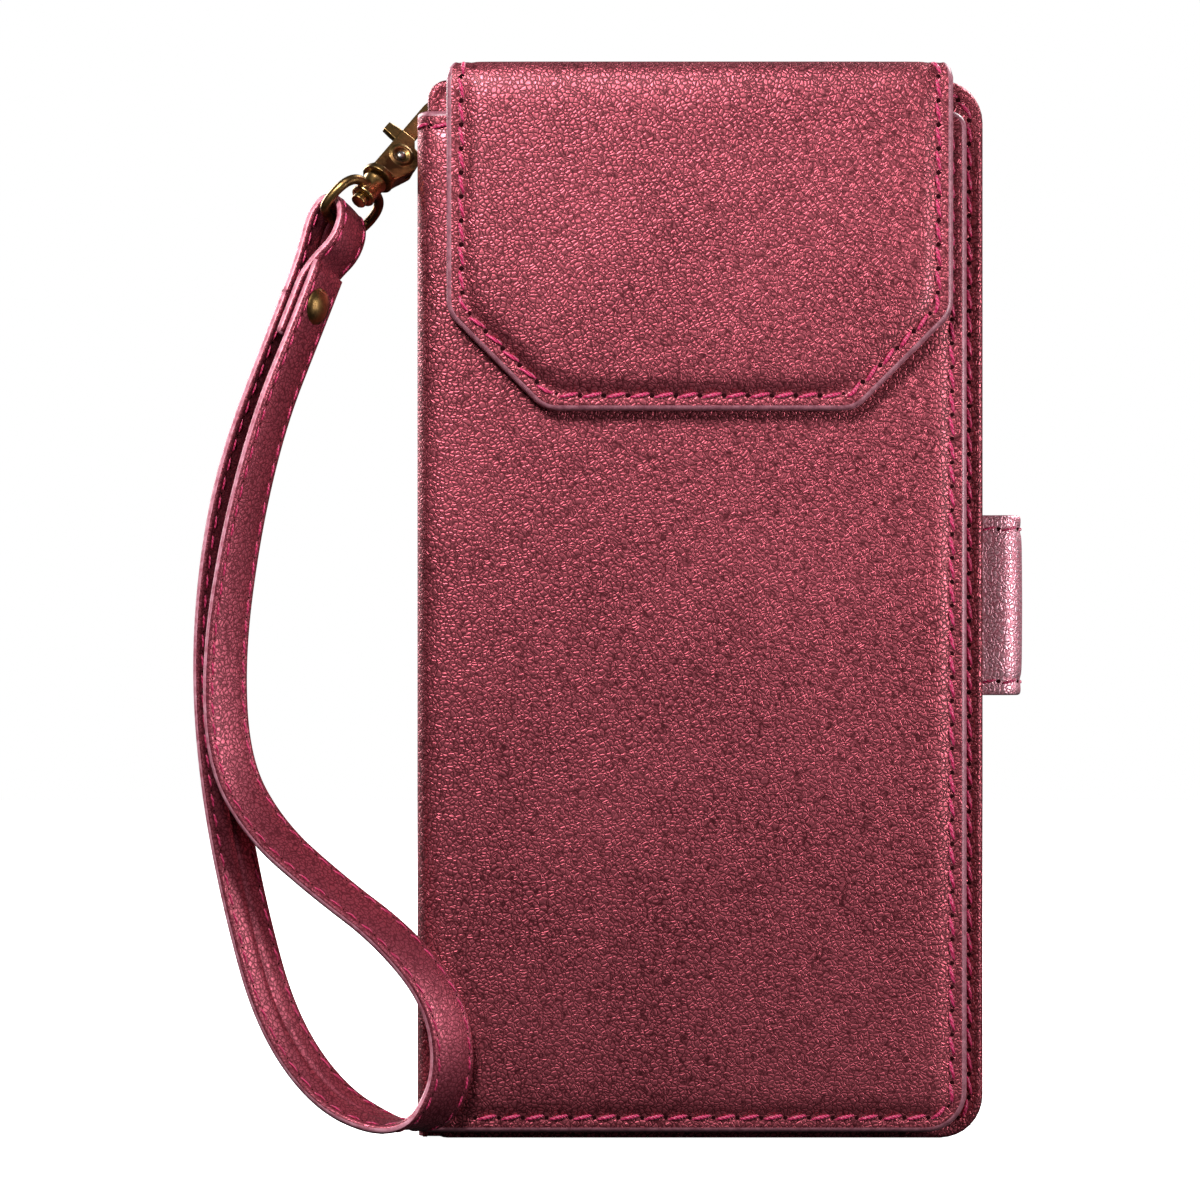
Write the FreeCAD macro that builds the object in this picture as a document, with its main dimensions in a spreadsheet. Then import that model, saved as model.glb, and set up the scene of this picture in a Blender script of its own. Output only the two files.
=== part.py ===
import FreeCAD, Part

import math
import os
import re

import Sketcher

# Phone wallet case: book covers round a phone shell, a padded pouch with a flap on the front cover, a
# closure strap on the back cover, and a wrist strap on a trigger snap hook. Millimetres, +Z up, and the
# front faces -Y. The origin is at the middle of the back cover's bottom edge.

V = FreeCAD.Vector
X_AXIS, Y_AXIS, Z_AXIS = V(1, 0, 0), V(0, 1, 0), V(0, 0, 1)

# Driving dimensions. Depths count from the back cover's middle plane: rear ones along +Y, others along -Y.
SIZES = {
    "cover_width": 84.2,
    "cover_height": 160.5,
    "free_corner": 6.5,
    "crease_corner": 3.0,
    "leather": 1.2,
    "board": 1.0,
    "lining": 0.8,
    "board_inset": 1.8,
    "back_rear": 1.5,
    "shell_width": 74.1,
    "shell_height": 149.7,
    "shell_depth": 9.8,
    "shell_wall": 1.3,
    "shell_base": 1.2,
    "shell_corner": 9.0,
    "hollow_corner": 7.7,
    "camera_side": 30.0,
    "camera_left": 3.0,
    "camera_low": 116.0,
    "camera_corner": 7.0,
    "port_width": 40.0,
    "port_depth": 4.6,
    "port_front": 4.2,
    "button_length": 28.0,
    "button_low": 90.0,
    "spine_outer": 43.55,
    "spine_skin": 0.6,
    "spine_board": 0.4,
    "spine_lining": 0.3,
    "spine_near": 14.9,
    "spine_far": 0.9,
    "spine_height": 142.8,
    "spine_rear_height": 131.5,
    "front_inner": 14.2,
    "bill_width": 76.0,
    "bill_height": 138.0,
    "card_width": 66.0,
    "card_base": 8.0,
    "card_first": 104.0,
    "card_step": 15.0,
    "pocket_sheet": 0.65,
    "pocket_gap": 0.25,
    "pocket_rim": 2.5,
    "pouch_left": 43.5,
    "pouch_right": 39.2,
    "pouch_low": 1.5,
    "pouch_top": 155.2,
    "pouch_room": 5.0,
    "pouch_corner": 6.0,
    "pouch_top_corner": 2.0,
    "pouch_skin": 1.0,
    "pouch_foam": 1.0,
    "pouch_lining": 0.5,
    "pouch_wall": 1.2,
    "gusset": 1.0,
    "gusset_inset": 2.6,
    "flap_left": 39.0,
    "flap_right": 37.0,
    "flap_low": 110.0,
    "flap_top": 162.0,
    "flap_rear": 25.2,
    "flap_skin": 1.1,
    "flap_foam": 1.1,
    "flap_lining": 0.6,
    "flap_chamfer": 14.6,
    "bridge_rear": 18.6,
    "bridge_front": 24.6,
    "bridge_height": 160.6,
    "bridge_skin": 0.9,
    "bridge_lining": 0.5,
    "anchor_low": 132.0,
    "anchor_thick": 0.7,
    "closure_low": 66.9,
    "closure_high": 94.7,
    "closure_root": 28.0,
    "closure_root_end": 46.5,
    "closure_start": 43.0,
    "closure_bend": 19.05,
    "tip_start": 15.95,
    "tip_end": 1.95,
    "tip_corner": 5.0,
    "closure_gap": 0.3,
    "closure_skin": 1.0,
    "closure_filler": 0.8,
    "slot_room": 0.2,
    "magnet_radius": 5.0,
    "flap_magnet_height": 120.0,
    "catch_across": 33.5,
    "ring_radius": 3.9,
    "ring_wire": 0.6,
    "tab_bore": 1.0,
    "tab_outer": 1.8,
    "tab_length": 3.0,
    "tab_thick": 1.0,
    "clasp_half": 1.7,
    "hook_half": 1.0,
    "slot_half": 0.65,
    "lever_half": 0.55,
    "pivot_radius": 0.7,
    "collar_radius": 2.6,
    "stud_radius": 0.75,
    "stud_head": 1.2,
    "eye_radius": 1.9,
    "run_clearance": 0.05,
    "bail_wire": 0.75,
    "bail_half": 5.0,
    "bail_length": 7.0,
    "strap_width": 8.0,
    "strap_thick": 1.4,
    "layer_pitch": 1.65,
    "rivet_radius": 2.8,
    "rivet_shank": 1.0,
    "rivet_reach": 13.96,
}

doc = FreeCAD.newDocument("phone_wallet_case")
sheet = doc.addObject("Spreadsheet::Sheet", "Sheet")
for row, (alias, value) in enumerate(SIZES.items(), start=1):
    sheet.set(f"A{row}", alias)
    sheet.set(f"B{row}", str(value))
    sheet.setAlias(f"B{row}", alias)
doc.recompute()

pieces = []


def size(alias):
    """A driving dimension, as the sheet holds it."""
    return float(sheet.get(alias))


def bound(text):
    """An expression over driving dimensions, with each alias pointed at the sheet."""
    return re.sub(r"[a-z]+(?:_[a-z]+)*", lambda word: f"Sheet.{word.group(0)}", text)


def bind(thing, **expressions):
    """Binds properties to the sheet. A double underscore stands for the dot in a property's path."""
    for name, text in expressions.items():
        thing.setExpression(name.replace("__", "."), bound(text))
    return thing


def place(thing, x="0", y="0", z="0"):
    """Binds a thing's position to the sheet."""
    return bind(thing, Placement__Base__x=x, Placement__Base__y=y, Placement__Base__z=z)


def piece(thing, label):
    """Marks an object as a sub-part and names it."""
    thing.Label = label
    pieces.append(thing)
    return thing


# ---- panels: bodies drawn in the XZ plane ----


def origin_plane(body, role):
    """The body's own origin plane with this role."""
    return next(feature for feature in body.Origin.OriginFeatures if feature.Role == role)


def front_sketch(body, name, off="0"):
    """A sketch of the body on its XZ plane, moved towards the front by off."""
    sketch = body.newObject("Sketcher::SketchObject", name)
    sketch.AttachmentSupport = [(origin_plane(body, "XZ_Plane"), "")]
    sketch.MapMode = "FlatFace"
    bind(sketch, AttachmentOffset__Base__z=off)
    return sketch


def rectangle(sketch, left, low, wide, tall):
    """A fully constrained rectangle whose lower left corner is at (left, low). All four are expressions."""
    turn = [V(1, 1, 0), V(11, 1, 0), V(11, 11, 0), V(1, 11, 0)]
    for start, end in zip(turn, turn[1:] + turn[:1]):
        sketch.addGeometry(Part.LineSegment(start, end), False)
    for line in range(4):
        sketch.addConstraint(Sketcher.Constraint("Coincident", line, 2, (line + 1) % 4, 1))
    for line, way in enumerate(("Horizontal", "Vertical", "Horizontal", "Vertical")):
        sketch.addConstraint(Sketcher.Constraint(way, line))
    rules = {
        "left": (Sketcher.Constraint("DistanceX", -1, 1, 0, 1, 1), left),
        "low": (Sketcher.Constraint("DistanceY", -1, 1, 0, 1, 1), low),
        "wide": (Sketcher.Constraint("DistanceX", 0, 1, 0, 2, 10), wide),
        "tall": (Sketcher.Constraint("DistanceY", 1, 1, 1, 2, 10), tall),
    }
    for name, (rule, text) in rules.items():
        number = sketch.addConstraint(rule)
        sketch.renameConstraint(number, name)
        sketch.setExpression(f"Constraints.{name}", bound(text))


def upright_edges(feature, spots):
    """Names of the feature's edges along Y that stand at one of the (x, z) spots."""
    names = []
    for number, edge in enumerate(feature.Shape.Edges, start=1):
        middle = edge.CenterOfMass
        flat = edge.Curve.TypeId == "Part::GeomLine" and abs(edge.Curve.Direction.y) > 0.999
        if flat and any(math.hypot(middle.x - x, middle.z - z) < 0.05 for x, z in spots):
            names.append(f"Edge{number}")
    return names


def dress(body, kind, spots, **expressions):
    """A fillet or chamfer on the body's edges along Y at these spots."""
    doc.recompute()
    base = body.Tip
    feature = body.newObject(f"PartDesign::{kind}", f"{body.Name}_{kind.lower()}")
    feature.Base = (base, upright_edges(base, spots))
    bind(feature, **expressions)
    doc.recompute()
    return feature


def panel(name, left, right, low, high, rear, depth, corners=None):
    """A flat panel from left to right and low to high. Its rear face is at rear, and it is depth thick
    towards the front. corners maps bl, br, tr and tl to the alias of a corner radius."""
    body = doc.addObject("PartDesign::Body", name)
    sketch = front_sketch(body, f"{name}_outline")
    rectangle(sketch, "0", "0", f"{right} - ({left})", f"{high} - ({low})")
    pad = body.newObject("PartDesign::Pad", f"{name}_pad")
    pad.Profile = sketch
    bind(pad, Length=depth)
    place(body, x=left, y=rear, z=low)
    doc.recompute()
    box = pad.Shape.BoundBox
    spots = {"bl": (0, 0), "br": (box.XMax, 0), "tr": (box.XMax, box.ZMax), "tl": (0, box.ZMax)}
    for radius in sorted(set((corners or {}).values())):
        here = [spots[which] for which, alias in corners.items() if alias == radius]
        dress(body, "Fillet", here, Radius=radius)
    return body


def recess(body, name, left, low, wide, tall, depth, face="near", off="0"):
    """A rectangular pocket of the body, cut from its near or its rear face. Places are from the body's
    lower left corner."""
    sketch = front_sketch(body, f"{name}_outline", off)
    rectangle(sketch, left, low, wide, tall)
    pocket = body.newObject("PartDesign::Pocket", name)
    pocket.Profile = sketch
    pocket.Reversed = face == "rear"
    bind(pocket, Length=depth)
    before = body.Shape.Volume
    doc.recompute()
    if body.Shape.Volume > before - 0.01:
        raise ValueError(f"{name} cut nothing")
    return pocket


def through_hole(body, name, across, height, radius):
    """A round hole right through a panel. Places are from its lower left corner."""
    sketch = front_sketch(body, f"{name}_outline", "-1")
    sketch.addGeometry(Part.Circle(V(1, 1, 0), Z_AXIS, 1), False)
    rules = {
        "across": (Sketcher.Constraint("DistanceX", -1, 1, 0, 3, 1), across),
        "height": (Sketcher.Constraint("DistanceY", -1, 1, 0, 3, 1), height),
        "radius": (Sketcher.Constraint("Radius", 0, 1), radius),
    }
    for rule_name, (rule, text) in rules.items():
        number = sketch.addConstraint(rule)
        sketch.renameConstraint(number, rule_name)
        sketch.setExpression(f"Constraints.{rule_name}", bound(text))
    pocket = body.newObject("PartDesign::Pocket", name)
    pocket.Profile = sketch
    pocket.Type = 1
    pocket.Reversed = True
    doc.recompute()


def disc(name, across, height, rear, depth, radius):
    """A round plate, such as a magnet, whose rear face is at rear."""
    plate = doc.addObject("Part::Cylinder", name)
    bind(plate, Radius=radius, Height=depth)
    plate.Placement.Rotation = FreeCAD.Rotation(X_AXIS, 90)
    return place(plate, x=across, y=rear, z=height)


def block(name, left, right, low, high, rear, depth):
    """A plain box with the same measures as a panel."""
    box = doc.addObject("Part::Box", name)
    bind(box, Length=f"{right} - ({left})", Width=depth, Height=f"{high} - ({low})")
    return place(box, x=left, y=f"{rear} - ({depth})", z=low)


def cut(name, base, tool):
    """One Part object less another."""
    result = doc.addObject("Part::Cut", name)
    result.Base = base
    result.Tool = tool
    doc.recompute()
    return result


BOOK_CORNERS = {"bl": "crease_corner", "tl": "crease_corner", "br": "free_corner", "tr": "free_corner"}
HALF = "cover_width / 2"
CAMERA = ("camera_left + cover_width / 2", "camera_low", "camera_side", "camera_side")


# ---- back cover ----


def camera_window(body, shift="0"):
    """The camera's window through a panel of the back cover, with round corners."""
    left, low, wide, tall = CAMERA
    name = f"{body.Name}_camera"
    across, height = f"{left} - {shift}", f"{low} - {shift}"
    recess(body, name, across, height, wide, tall, "leather * 3", off="leather * 2.5")
    moved = size(shift) if shift in SIZES else 0
    x = size("camera_left") + size("cover_width") / 2 - moved
    z = size("camera_low") - moved
    side = size("camera_side")
    spots = [(x, z), (x + side, z), (x + side, z + side), (x, z + side)]
    dress(body, "Fillet", spots, Radius="camera_corner")


def back_leather():
    """The outer skin, turned up round the board, with a slot in its free edge for the closure's root."""
    depth = "leather + board"
    body = panel("back_leather", f"-{HALF}", HALF, "0", "cover_height", "back_rear", depth, BOOK_CORNERS)
    inner_wide, inner_tall = "cover_width - 2 * board_inset", "cover_height - 2 * board_inset"
    recess(body, "board_bed", "board_inset", "board_inset", inner_wide, inner_tall, "board", off=depth)
    recess(
        body,
        "root_slot",
        "cover_width - 2 * board_inset",
        "closure_low - slot_room",
        "3 * board_inset",
        "closure_high - closure_low + 2 * slot_room",
        "board",
        off=depth,
    )
    camera_window(body)
    return piece(body, "back_leather")


def back_board():
    """The stiffening board, notched for the closure strap's root and drilled for the parking magnet."""
    body = panel(
        "back_board",
        f"-{HALF} + board_inset",
        f"{HALF} - board_inset",
        "board_inset",
        "cover_height - board_inset",
        "back_rear - leather",
        "board",
    )
    recess(
        body,
        "root_notch",
        "closure_root - slot_room + cover_width / 2 - board_inset",
        "closure_low - slot_room - board_inset",
        "cover_width",
        "closure_high - closure_low + 2 * slot_room",
        "board * 3",
        off="board * 2",
    )
    across = f"(tip_start + tip_end) / 2 + {HALF} - board_inset"
    height = "(closure_low + closure_high) / 2 - board_inset"
    through_hole(body, "parking_bore", across, height, "magnet_radius")
    camera_window(body, "board_inset")
    return piece(body, "back_board")


def back_lining():
    """The lining that the phone shell is glued to."""
    rear = "back_rear - leather - board"
    body = panel("back_lining", f"-{HALF}", HALF, "0", "cover_height", rear, "lining", BOOK_CORNERS)
    camera_window(body)
    return piece(body, "back_lining")


def rounded_box(name, left, right, low, high, rear, depth, radius):
    """A box with its four edges along Y rounded."""
    box = block(f"{name}_box", left, right, low, high, rear, depth)
    doc.recompute()
    rounded = doc.addObject("Part::Fillet", name)
    rounded.Base = box
    reach = size(radius)
    edges = [
        number
        for number, edge in enumerate(box.Shape.Edges, start=1)
        if abs(edge.Curve.Direction.y) > 0.999
    ]
    rounded.Edges = [(number, reach, reach) for number in edges]
    doc.recompute()
    return rounded


def phone_shell():
    """The hard tray that holds the phone, open to the front, with openings for camera, port and buttons."""
    rear = "back_rear - leather - board - lining"
    half, wall = "shell_width / 2", "shell_wall"
    top = "shell_base + shell_height"
    depth = "shell_depth"
    outer = rounded_box("shell_outer", f"-{half}", half, "shell_base", top, rear, depth, "shell_corner")
    hollow = rounded_box(
        "shell_hollow",
        f"-{half} + {wall}",
        f"{half} - {wall}",
        f"shell_base + {wall}",
        f"{top} - {wall}",
        f"{rear} - {wall}",
        depth,
        "hollow_corner",
    )
    tray = cut("shell_tray", outer, hollow)
    camera = rounded_box(
        "shell_camera",
        "camera_left",
        "camera_left + camera_side",
        "camera_low",
        "camera_low + camera_side",
        "back_rear",
        "shell_depth / 2",
        "camera_corner",
    )
    tray = cut("shell_with_camera", tray, camera)
    port = block(
        "shell_port",
        "-port_width / 2",
        "port_width / 2",
        "0",
        "shell_base * 3",
        "-port_front",
        "port_depth",
    )
    tray = cut("shell_with_port", tray, port)
    buttons = block(
        "shell_buttons",
        f"{half} - 2 * {wall}",
        f"{half} + {wall}",
        "button_low",
        "button_low + button_length",
        "-port_front",
        "port_depth",
    )
    return piece(cut("phone_shell", tray, buttons), "phone_shell")


def closure_root():
    """The fixed end of the closure strap, between the back cover's skin and lining."""
    root = block(
        "closure_root",
        "closure_root",
        "closure_root_end",
        "closure_low",
        "closure_high",
        "back_rear - leather",
        "board",
    )
    return piece(root, "closure_root")


def back_cover():
    """Everything that stays with the back cover."""
    back_leather()
    back_board()
    back_lining()
    phone_shell()
    closure_root()
    parking = disc(
        "parking_magnet",
        "(tip_start + tip_end) / 2",
        "(closure_low + closure_high) / 2",
        "back_rear - leather",
        "board",
        "magnet_radius",
    )
    piece(parking, "parking_magnet")


# ---- spine ----


def spine():
    """Three layers between the two creases. Their top slopes down to the rear, below the path that the
    clasp and the strap's top take when the front cover swings round."""
    outer = "-spine_outer"
    layers = {"spine_leather": "spine_skin", "spine_board": "spine_board", "spine_lining": "spine_lining"}
    for name, thick in layers.items():
        inner = f"{outer} + {thick}"
        layer = doc.addObject("Part::Wedge", name)
        bind(layer, Xmin=outer, X2min=outer, Xmax=inner, X2max=inner, Ymin="-spine_near", Ymax="-spine_far")
        bind(layer, Zmin="0", Z2min="0", Zmax="spine_height", Z2max="spine_rear_height")
        piece(layer, name)
        outer = inner


# ---- front cover ----

FRONT_OUTER = "front_inner + lining + board + leather"
CARD_POCKETS = 3


def front_leather():
    """The outer skin, turned in round the board."""
    rear = "-front_inner - lining"
    depth = "board + leather"
    body = panel("front_leather", f"-{HALF}", HALF, "0", "cover_height", rear, depth, BOOK_CORNERS)
    wide, tall = "cover_width - 2 * board_inset", "cover_height - 2 * board_inset"
    recess(body, "front_bed", "board_inset", "board_inset", wide, tall, "board", face="rear")
    return piece(body, "front_leather")


def front_board():
    """The stiffening board."""
    body = panel(
        "front_board",
        f"-{HALF} + board_inset",
        f"{HALF} - board_inset",
        "board_inset",
        "cover_height - board_inset",
        "-front_inner - lining",
        "board",
    )
    return piece(body, "front_board")


def pocket_sheet(name, wide, low, high, level):
    """A pocket open at its top: a sheet with a raised rim on its other three sides, towards the front."""
    half = f"{wide} / 2"
    rear = f"-front_inner + {level} * pocket_sheet"
    body = panel(name, f"-{half}", half, low, high, rear, "pocket_sheet")
    recess(
        body,
        f"{name}_mouth",
        "pocket_rim",
        "pocket_rim",
        f"{wide} - 2 * pocket_rim",
        f"{high} - ({low})",
        "pocket_gap",
        off="pocket_sheet",
    )
    return piece(body, name)


def front_lining_and_pockets():
    """The lining, a bill pocket as wide as the cover and three stepped card pockets."""
    high = "cover_height"
    lining = panel("front_lining", f"-{HALF}", HALF, "0", high, "-front_inner", "lining", BOOK_CORNERS)
    piece(lining, "front_lining")
    pocket_sheet("bill_pocket", "bill_width", "card_base / 2", "bill_height", 1)
    for number in range(CARD_POCKETS):
        high = f"card_first - {number} * card_step"
        pocket_sheet(f"card_pocket_{number + 1}", "card_width", "card_base", high, number + 2)


def pouch():
    """The pouch on the front cover: a padded front, a left wall, and gussets on its right and bottom."""
    rear = f"-({FRONT_OUTER})"
    inner = f"{rear} - pouch_room"
    skin_rear = f"{inner} - pouch_lining - pouch_foam"
    inside_left, inside_right = "-pouch_left + pouch_wall", "pouch_right - pouch_wall"
    corners = {which: "pouch_top_corner" for which in ("bl", "tl", "tr")}
    corners["br"] = "pouch_corner"
    leather = panel(
        "pouch_leather",
        "-pouch_left",
        "pouch_right",
        "pouch_low",
        "pouch_top",
        skin_rear,
        "pouch_skin",
        corners,
    )
    piece(leather, "pouch_leather")
    low, high = "pouch_low + pouch_wall", "pouch_top - pouch_wall"
    foam_corner = {"br": "pouch_corner"}
    foam_rear = f"{inner} - pouch_lining"
    foam = panel("pouch_foam", inside_left, inside_right, low, high, foam_rear, "pouch_foam", foam_corner)
    from_left, from_low = f"-({inside_left})", f"-({low})"
    through_hole(foam, "pouch_magnet_bore", from_left, f"flap_magnet_height {from_low}", "magnet_radius")
    catch_place = "catch_across - magnet_radius"
    catch_height = "(closure_low + closure_high) / 2"
    across, height = f"{catch_place} {from_left}", f"{catch_height} {from_low}"
    through_hole(foam, "catch_bore", across, height, "magnet_radius")
    piece(foam, "pouch_foam")
    lining = panel("pouch_lining", inside_left, inside_right, low, high, inner, "pouch_lining", foam_corner)
    piece(lining, "pouch_lining")
    wall = block(
        "pouch_left_wall",
        "-pouch_left",
        inside_left,
        low,
        high,
        rear,
        "pouch_room + pouch_lining + pouch_foam",
    )
    piece(wall, "pouch_left_wall")
    gusset_left = "pouch_right - gusset_inset"
    gusset_right = f"{gusset_left} + gusset"
    right = block("pouch_gusset_right", gusset_left, gusset_right, low, high, rear, "pouch_room")
    piece(right, "pouch_gusset_right")
    high = f"{low} + gusset"
    bottom = block("pouch_gusset_bottom", inside_left, gusset_left, low, high, rear, "pouch_room")
    piece(bottom, "pouch_gusset_bottom")
    snap = disc("pouch_magnet", "0", "flap_magnet_height", foam_rear, "pouch_foam", "magnet_radius")
    piece(snap, "pouch_magnet")
    catch = disc("closure_catch", catch_place, catch_height, foam_rear, "pouch_foam", "magnet_radius")
    piece(catch, "closure_catch")


def front_cover():
    """Everything that stays with the front cover, apart from the strap ring's tab."""
    front_leather()
    front_board()
    front_lining_and_pockets()
    pouch()
    rear = f"-({FRONT_OUTER})"
    right = "pouch_right - gusset_inset - slot_room"
    high = "bridge_height - slot_room"
    anchor = block("flap_anchor", "-flap_left", right, "anchor_low", high, rear, "anchor_thick")
    piece(anchor, "flap_anchor")


# ---- flap ----


def flap_bridge():
    """The strip over the pouch's mouth, between the flap's two creases."""
    lining_high = "bridge_height + bridge_lining"
    depth = "bridge_front - bridge_rear"
    left, right, rear = "-flap_left", "flap_right", "-bridge_rear"
    lining = block("bridge_lining", left, right, "bridge_height", lining_high, rear, depth)
    piece(lining, "bridge_lining")
    skin = block("bridge_leather", left, right, lining_high, f"{lining_high} + bridge_skin", rear, depth)
    piece(skin, "bridge_leather")


def flap_layer(name, rear, depth, drilled=False):
    """One layer of the flap, with its two lower corners cut off at 45 degrees."""
    body = panel(name, "-flap_left", "flap_right", "flap_low", "flap_top", rear, depth)
    across = size("flap_left") + size("flap_right")
    dress(body, "Chamfer", [(0, 0), (across, 0)], Size="flap_chamfer")
    if drilled:
        height = "flap_magnet_height - flap_low"
        through_hole(body, "flap_magnet_bore", "flap_left", height, "magnet_radius")
    return piece(body, name)


def flap():
    """The flap's panel and the magnet in its padding."""
    foam_rear = "-flap_rear - flap_lining"
    flap_layer("flap_lining", "-flap_rear", "flap_lining")
    flap_layer("flap_foam", foam_rear, "flap_foam", drilled=True)
    flap_layer("flap_leather", f"{foam_rear} - flap_foam", "flap_skin")
    magnet = disc("flap_magnet", "0", "flap_magnet_height", foam_rear, "flap_foam", "magnet_radius")
    piece(magnet, "flap_magnet")


# ---- closure strap, parked behind the back cover ----


def closure():
    """The strap's side stretch and its magnetic tip, each of two skins on a filler."""
    near = "back_rear + closure_gap"
    layers = {
        "facing": (f"{near} + closure_skin", "closure_skin"),
        "filler": (f"{near} + closure_skin + closure_filler", "closure_filler"),
        "leather": (f"{near} + 2 * closure_skin + closure_filler", "closure_skin"),
    }
    corners = {"bl": "tip_corner", "tl": "tip_corner"}
    low, high = "closure_low", "closure_high"
    for kind, (rear, depth) in layers.items():
        side = block(f"closure_{kind}", "closure_bend", "closure_start", low, high, rear, depth)
        piece(side, f"closure_{kind}")
        tip = panel(f"tip_{kind}", "tip_end", "tip_start", low, high, rear, depth, corners)
        if kind == "filler":
            half_high = "(closure_high - closure_low) / 2"
            through_hole(tip, "tip_bore", "(tip_start - tip_end) / 2", half_high, "magnet_radius")
        piece(tip, f"tip_{kind}")
    rear, depth = layers["filler"]
    across, height = "(tip_start + tip_end) / 2", "(closure_low + closure_high) / 2"
    magnet = disc("tip_magnet", across, height, rear, depth, "magnet_radius")
    piece(magnet, "tip_magnet")


# ---- strap ring and clasp ----

# The hook holds the ring's wire here. The clasp's own axes: up from its collar to its crown, and across it.
RING_POINT = V(-39.5, -9.4, 154.8)
CLASP_LEAN = math.radians(33)
CLASP_UP = V(0.614 * math.cos(CLASP_LEAN), math.sin(CLASP_LEAN), 0.789 * math.cos(CLASP_LEAN)).normalize()
CLASP_ACROSS = V(0.789, 0, -0.614).normalize()
CLASP_FACE = CLASP_ACROSS.cross(CLASP_UP).normalize()
WIRE_ACROSS, WIRE_UP = 2.2, 16.0
COLLAR = RING_POINT - CLASP_UP * WIRE_UP - CLASP_ACROSS * WIRE_ACROSS
CLASP_FRAME = FreeCAD.Placement(
    COLLAR, FreeCAD.Rotation(CLASP_ACROSS, CLASP_UP, CLASP_FACE, "ZXY")
)
PIVOT_ACROSS, PIVOT_UP = 0.5, 4.7
STUD_INNER, STUD_OUTER, STUD_HEAD_THICK = 2.4, -5.0, 0.9
COLLAR_LOW, COLLAR_THICK = -0.5, 1
SPRING_SIZE, SPRING_CORNER = (0.25, 1.6, 0.9), V(-1.6, 3.4, -0.45)
# How far a cutting tool runs past what it cuts.
OVERRUN = 1
# The ring tab's turning points: two outward from its loop, and two across on the lining.
TAB_OUTWARD, TAB_ACROSS = (1.5, 4.5), (-22.5, -14.0)


def solid_feature(name, shape, placement=None):
    """A sub-part made directly from a shape."""
    feature = doc.addObject("Part::Feature", name)
    feature.Shape = shape
    if placement is not None:
        feature.Placement = placement
    return piece(feature, name)


def arc(start, through, end):
    """An edge through three points."""
    return Part.Arc(start, through, end).toShape()


def line(start, end):
    """A straight edge."""
    return Part.LineSegment(start, end).toShape()


def slab(edges, half):
    """A flat solid of twice half thickness about the plane of its outline."""
    face = Part.Face(Part.Wire(edges))
    face.translate(V(0, 0, -half))
    return face.extrude(V(0, 0, 2 * half))


def polygon_edges(points):
    """The edges of a closed polygon in the clasp's own plane."""
    corners = [V(across, up, 0) for across, up in points]
    return [line(a, b) for a, b in zip(corners, corners[1:] + corners[:1])]


def clasp_body():
    """Block, collar and hook in one casting, with a slot for the lever, a pivot hole and the stud's bore."""
    block_outline = [(-1.9, 0.4), (2.3, 0.4), (3.6, 4.2), (3.2, 6.8), (1.4, 7.3), (0.5, 8.6), (-1.9, 8.6)]
    casting = slab(polygon_edges(block_outline), size("clasp_half"))
    back, gap_left, gap_right, side = -1.9, 0.5, 3.9, 5.6
    foot, bend, tip = 6.0, 15.0, 11.9
    outer_middle, inner_middle = (back + side) / 2, (gap_left + gap_right) / 2
    outer_top, inner_top = bend + (side - back) / 2, bend + (gap_right - gap_left) / 2
    hook = [
        line(V(back, foot, 0), V(back, bend, 0)),
        arc(V(back, bend, 0), V(outer_middle, outer_top, 0), V(side, bend, 0)),
        line(V(side, bend, 0), V(side, tip, 0)),
        line(V(side, tip, 0), V(gap_right, tip, 0)),
        line(V(gap_right, tip, 0), V(gap_right, bend, 0)),
        arc(V(gap_right, bend, 0), V(inner_middle, inner_top, 0), V(gap_left, bend, 0)),
        line(V(gap_left, bend, 0), V(gap_left, foot, 0)),
        line(V(gap_left, foot, 0), V(back, foot, 0)),
    ]
    casting = casting.fuse(slab(hook, size("hook_half")))
    collar = Part.makeCylinder(size("collar_radius"), COLLAR_THICK, V(0, COLLAR_LOW, 0), Y_AXIS)
    casting = casting.fuse(collar)
    slot_low, slot_high, slot_wide = 2.9, 10.6, 14.0
    slot_half = size("slot_half")
    corner = V(-slot_wide / 2, slot_low, -slot_half)
    casting = casting.cut(Part.makeBox(slot_wide, slot_high - slot_low, 2 * slot_half, corner))
    reach = 2 * size("clasp_half")
    pivot = V(PIVOT_ACROSS, PIVOT_UP, -reach)
    casting = casting.cut(Part.makeCylinder(size("pivot_radius"), 2 * reach, pivot, Z_AXIS))
    bore = Part.makeCylinder(size("stud_radius"), STUD_INNER + OVERRUN, V(0, -OVERRUN, 0), Y_AXIS)
    casting = casting.cut(bore).removeSplitter()
    return solid_feature("clasp_body", casting, CLASP_FRAME)


def clasp_lever():
    """The lever: a gate that closes the hook, and a thumb stub behind its back edge."""
    outline = [
        (-0.9, 4.0),
        (0.4, 3.4),
        (1.9, 3.9),
        (2.6, 5.2),
        (5.0, 11.0),
        (4.5, 11.5),
        (3.9, 11.5),
        (1.7, 7.6),
        (0.3, 8.9),
        (-1.6, 9.4),
        (-4.3, 9.1),
        (-4.3, 7.5),
        (-1.7, 7.2),
        (-0.9, 6.0),
    ]
    lever = slab(polygon_edges(outline), size("lever_half"))
    radius = size("pivot_radius") + size("run_clearance")
    reach = size("clasp_half")
    hole = Part.makeCylinder(radius, 2 * reach, V(PIVOT_ACROSS, PIVOT_UP, -reach), Z_AXIS)
    return solid_feature("clasp_lever", lever.cut(hole), CLASP_FRAME)


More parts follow.
